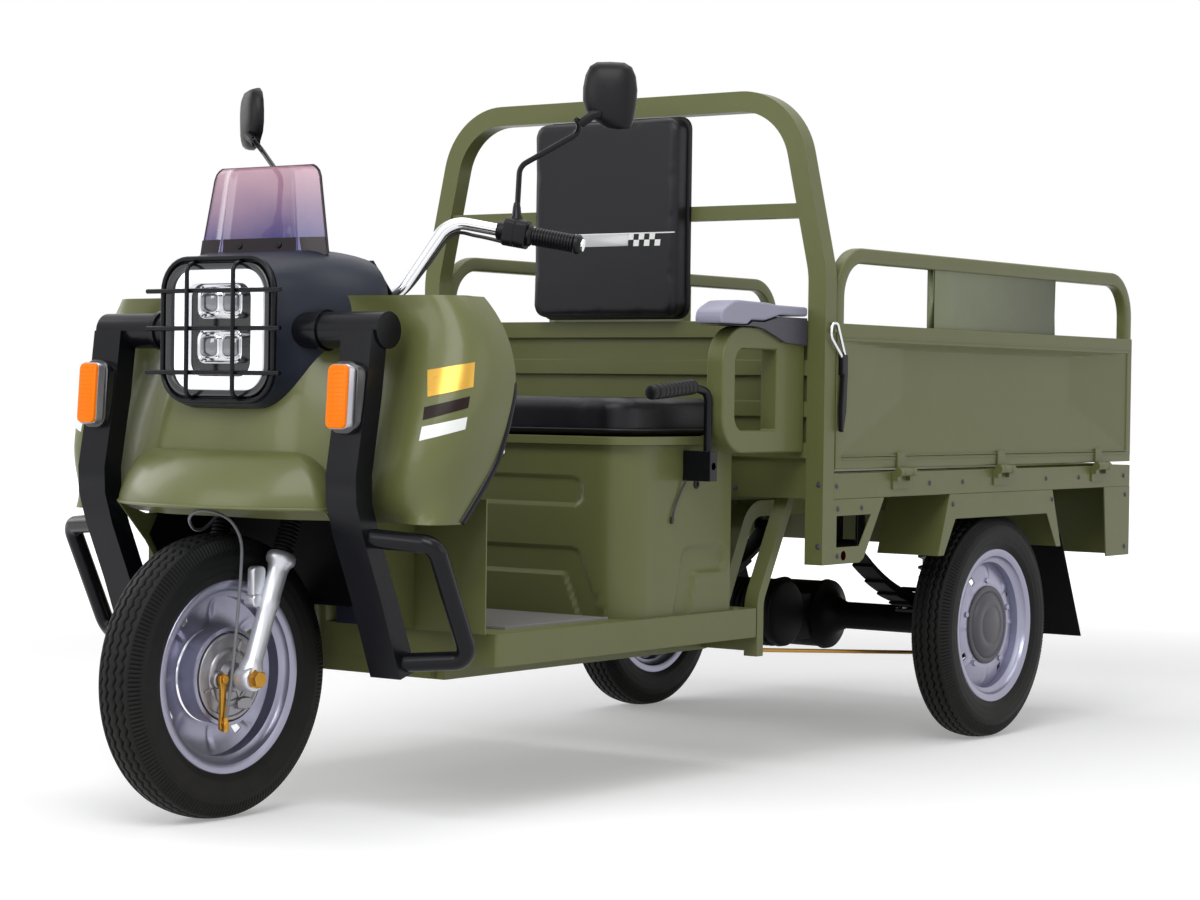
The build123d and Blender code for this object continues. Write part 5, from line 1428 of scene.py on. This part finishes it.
def build_side_gate(side, sign):
    name = f"{side}_gate"
    build_gate(name, f"{side}_side_gate", name,
               lambda along, out, z: spot(sign * (bed_half + out), along, z), gate_front, gate_rear,
               24, 150, 262, (1420, 1640, 1846, 2060, 2280), (1437, 1863, 2331), (0, 1, 0))
    middle = sign * (bed_half - gate_wall / 2)
    front, rear, rail_top = gate_front + 15, gate_rear - 15, 1008
    path = bent([spot(middle, front, 868), spot(middle, front, rail_top),
                 spot(middle, rear, rail_top), spot(middle, rear, 868)], 86, 5)
    rail = Shape().tube(path, rounded_rectangle(26, 30, 5, 3), up=(0, 1, 0))
    finished(rail, f"{name}_rail", green_paint, name, smooth=30)
    board = Shape().block(sign * 492.5, sign * 495.5, 1576, 2121, 871, 995)
    for station in (1576, 2117):
        board.block(sign * 480, sign * 495.5, station, station + 4, 871, 995)
    finished(board, f"{name}_sign_panel", sign_green, name, bevel=0.8)
    lines = Shape()
    for inwards, proud, low, high in ((24, 1.2, 606, 609), (24, 1.2, 613, 615.5), (6, 1, 846, 849)):
        lines.block(sign * (bed_half - 1), sign * (bed_half + proud), gate_front + inwards,
                    gate_rear - inwards, low, high)
    finished(lines, f"{name}_lines", green_paint, name, bevel=0.6)


def build_latches():
    """The front latch with its wire hook, and the catch at the rear, on each side gate."""
    for side, sign in both_sides:
        body = f"{side}_gate"
        x = sign * 509
        route = bent([spot(x, 1197, 806), spot(x, 1153, 846), spot(x, 1157, 872),
                      spot(x, 1177, 872), spot(x, 1208, 806)], [16, 9, 9])
        hook = Shape().tube(route, circle(3, 12), up=(1, 0, 0))
        finished(hook, f"{side}_latch_hook", chrome, body, (f"{side}_gate_latches",))
        lever = Shape().block(sign * bed_half, sign * 513, 1193, 1213, 772, 812)
        lever.prism([(1196, 776), (1210, 776), (1207, 720), (1206, 701), (1196, 661), (1190, 665),
                     (1190, 711), (1193, 740)], sign * 505, sign * 515)
        finished(lever, f"{side}_latch_lever", moulded_black, body, bevel=1.6, smooth=25)
        catch = Shape().block(sign * 476, sign * 500, gate_rear, gate_rear + 5, 838, 868)
        catch.lathe(spot(sign * 488, gate_rear + 4, 853), (0, 1, 0),
                    [(0, 0), (0, 8), (6, 8), (7, 6), (7, 0)], 6)
        finished(catch, f"{side}_rear_catch", chrome, body, bevel=0.8)


def build_tail_lamps():
    middle = spot(395, gate_rear, 440)
    facing_rear = ((-1, 0, 0), (0, 0, 1))
    base = Shape().domed(middle, *facing_rear, rounded_rectangle(130, 60, 8, 4),
                         [(1, 1, -0.2), (1, 1, 6), (0.97, 0.94, 7)])
    finished(base.mirrored_too(), "tail_lamp_bases", lamp_black,
             stands_for=("tail_lamps",))
    for name, material, offset, width in (("red", red_lens, 34, 52), ("amber", amber, -42, 36),
                                          ("clear", lamp_white, -8, 26)):
        lens = Shape().domed(middle - Vector((offset * mm, 0, 0)), *facing_rear,
                             rounded_rectangle(width, 48, 5, 4),
                             [(1, 1, 6), (1, 1, 10.5), (0.9, 0.9, 12)])
        finished(lens.mirrored_too(), f"tail_lamp_{name}", material)
    holder = Shape().domed(spot(500, 1207, 420), *facing_left, rounded_rectangle(26, 24, 6, 3),
                           [(1, 1, 0), (0.9, 0.9, 2.4)])
    finished(holder.mirrored_too(), "side_reflector_holders", moulded_black)
    glass = Shape().domed(spot(500, 1222, 420), *facing_left, circle(12, 24),
                          [(1, 1, 0), (1, 1, 2), (0.8, 0.8, 2.5)])
    # The side reflectors share the red lens finish, so their faint glow is painted light.
    finished(glass.mirrored_too(), "side_reflectors", red_lens)


# ---------------------------------------------------------------- running gear
def build_springs():
    """Five leaves a side, shorter downwards, on hangers and held to the axle by bent bolts."""
    leaves, clips = Shape(), Shape()
    middle_x, half_plate, points = 300, 36, 24
    for leaf in range(5):
        reach = 306 - leaf * 52
        shares = [-1 + 2 * k / points for k in range(points + 1)]
        for sign in (-1, 1):
            path = [spot(sign * middle_x, rear_axle + u * reach,
                         299 - leaf * 6.4 + 121 * (u * reach / 310) ** 2) for u in shares]
            leaves.tube(path, rounded_rectangle(50, 5.6, 1.5, 2))
    for sign in (-1, 1):
        for station in (1580, 2200):
            leaves.lathe(spot(sign * 325, station, 418), (-sign, 0, 0),
                         [(0, 0), (0, 13), (50, 13), (50, 0)], 24)
            for inner in (270, 324):
                clips.block(sign * inner, sign * (inner + 6), station - 16, station + 16, 410, 531)
        for station in (1850, 1930):
            route = [spot(sign * x, station, z) for x, z in
                     ((270, 268), (270, 312), (330, 312), (330, 268))]
            clips.tube(bent(route, 8), circle(5, 10), up=(0, 1, 0))
        clips.block(sign * (middle_x - half_plate), sign * (middle_x + half_plate), 1838, 1942,
                    262, 270)
    finished(leaves, "spring_leaves", under_black, stands_for=("leaf_springs",))
    finished(clips, "spring_hangers", frame_black, bevel=1.2)


def build_shocks():
    body, coil = Shape(), Shape()
    turns, steps = 7, 18
    side = Vector((1, 0, 0))
    for sign in (-1, 1):
        top_end, foot = spot(sign * 334, 1843, 531), spot(sign * 334, 1856, 266)
        axis = (foot - top_end).normalized()
        body.lathe(top_end, axis, [(0, 0), (0, 17), (8, 17), (10, 12), (150, 12), (152, 9),
                                   (186, 9), (188, 18), (194, 18), (196, 8), (262, 8), (262, 0)], 28)
        other = axis.cross(side)
        helix = []
        for k in range(turns * steps + 1):
            turn = 2 * math.pi * k / steps
            along = 12 + 172 * k / (turns * steps)
            out = side * math.cos(turn) + other * math.sin(turn)
            helix.append(top_end + axis * (along * mm) + out * (16 * mm))
        coil.tube(helix, circle(3.4, 8))
    finished(body, "shock_bodies", cast_alloy, stands_for=("shock_absorbers",))
    finished(coil, "shock_coils", frame_black)


def build_motor():
    """The finned motor, the rear axle's casing and the ring of bolts on its middle."""
    profile = [(0, 0), (0, 66), (4, 72), (14, 74)]
    for fin in range(12):
        along = 18 + fin * 13
        profile += [(along, 68), (along + 2, 74), (along + 7, 74), (along + 9, 68)]
    profile += [(184, 74), (196, 72), (200, 64), (200, 0)]
    motor = Shape().lathe(spot(-120, 1690, 256.5), (1, 0, 0), profile, 56)
    motor.block(-60, 60, 1740, 1820, 192.5, 292.5)
    finished(motor, "motor_housing", under_black, stands_for=("drive_motor",),
             bevel=1.0)
    centre = spot(0, rear_axle, axle_height)
    right_half = [(-455, 0), (-455, 9.9), (-397, 9.9), (-397, 80), (-394, 80), (-383, 78),
                  (-383, 34), (-376, 30), (-110, 30), (-86, 40), (-72, 58), (-66, 76), (-56, 78),
                  (-50, 72), (-44, 74)]
    casing = Shape().lathe(centre, (1, 0, 0), both_ways(right_half), 56)
    finished(casing, "axle_casing", under_black, stands_for=("rear_axle",))
    places, facings = [], []
    half_width, ring_radius, bolt_count = 58, 70, 10
    for k in range(bolt_count):
        out = spoke(2 * math.pi * k / bolt_count) * (ring_radius * mm)
        for sign in (-1, 1):
            places.append(centre + Vector((sign * half_width * mm, 0, 0)) + out)
            facings.append((sign, 0, 0))
    repeated("axle_bolts", bolt_seed(4.5, 4.5, 6), places, cap_grey,
             facings=facings)


def dress_construction():
    """Folded and welded pieces keep their construction's shape, with small rounded edges."""
    for node in ("main_frame", "footboard", "bed_frame", "headboard", "side_skirts",
                 "rear_valance", "rear_fenders", "lower_shields", "bed_floor"):
        softened(node, green_paint)
    for node, bevel in (("hoop", 5), ("armrest_frames", 4), ("fixed_hinges", 0.6)):
        softened(node, green_paint, bevel=bevel)
    softened("seat_pan", green_paint, "seat", bevel=2.5)
    softened("leg_shield", green_plastic, bevel=1.2, smooth=40)
    softened("front_crash_bar", frame_black, bevel=3)
    for node in ("battery_pack", "mud_flaps", "wheel_well"):
        softened(node, under_black)
    for node in ("inner_shield", "instrument_panel", "headlamp_cowl"):
        softened(node, cowl_plastic, bevel=0.8, smooth=40)
    softened("steering_column", under_black, "steering")
    softened("rear_brake_linkage", gold_zinc, bevel=0.6)


build_wheels()
build_headlamp()
build_guard()
build_windscreen()
build_mirrors()
build_handlebar()
build_turn_lamps()
build_hood()
build_pod_trim()
build_stripes()
build_fork()
build_front_brake()
build_front_cable()
build_seat_box()
build_seat()
build_backrest()
build_armrests()
build_parking_lever()
build_floor_mat()
for gate_side, gate_sign in both_sides:
    build_side_gate(gate_side, gate_sign)
build_gate("tailgate", "tailgate", "rear_gate",
           lambda along, out, z: spot(along, gate_rear + out, z), -tailgate_half, tailgate_half,
           24.5, 110, 190, (-260, 0, 260), (-300, 300), (1, 0, 0))
build_latches()
build_tail_lamps()
build_springs()
build_shocks()
build_motor()
build_bolts()
dress_construction()
aim_camera()
lay_floor()
light_world()
light_studio()
scene.view_settings.view_transform = "Standard"
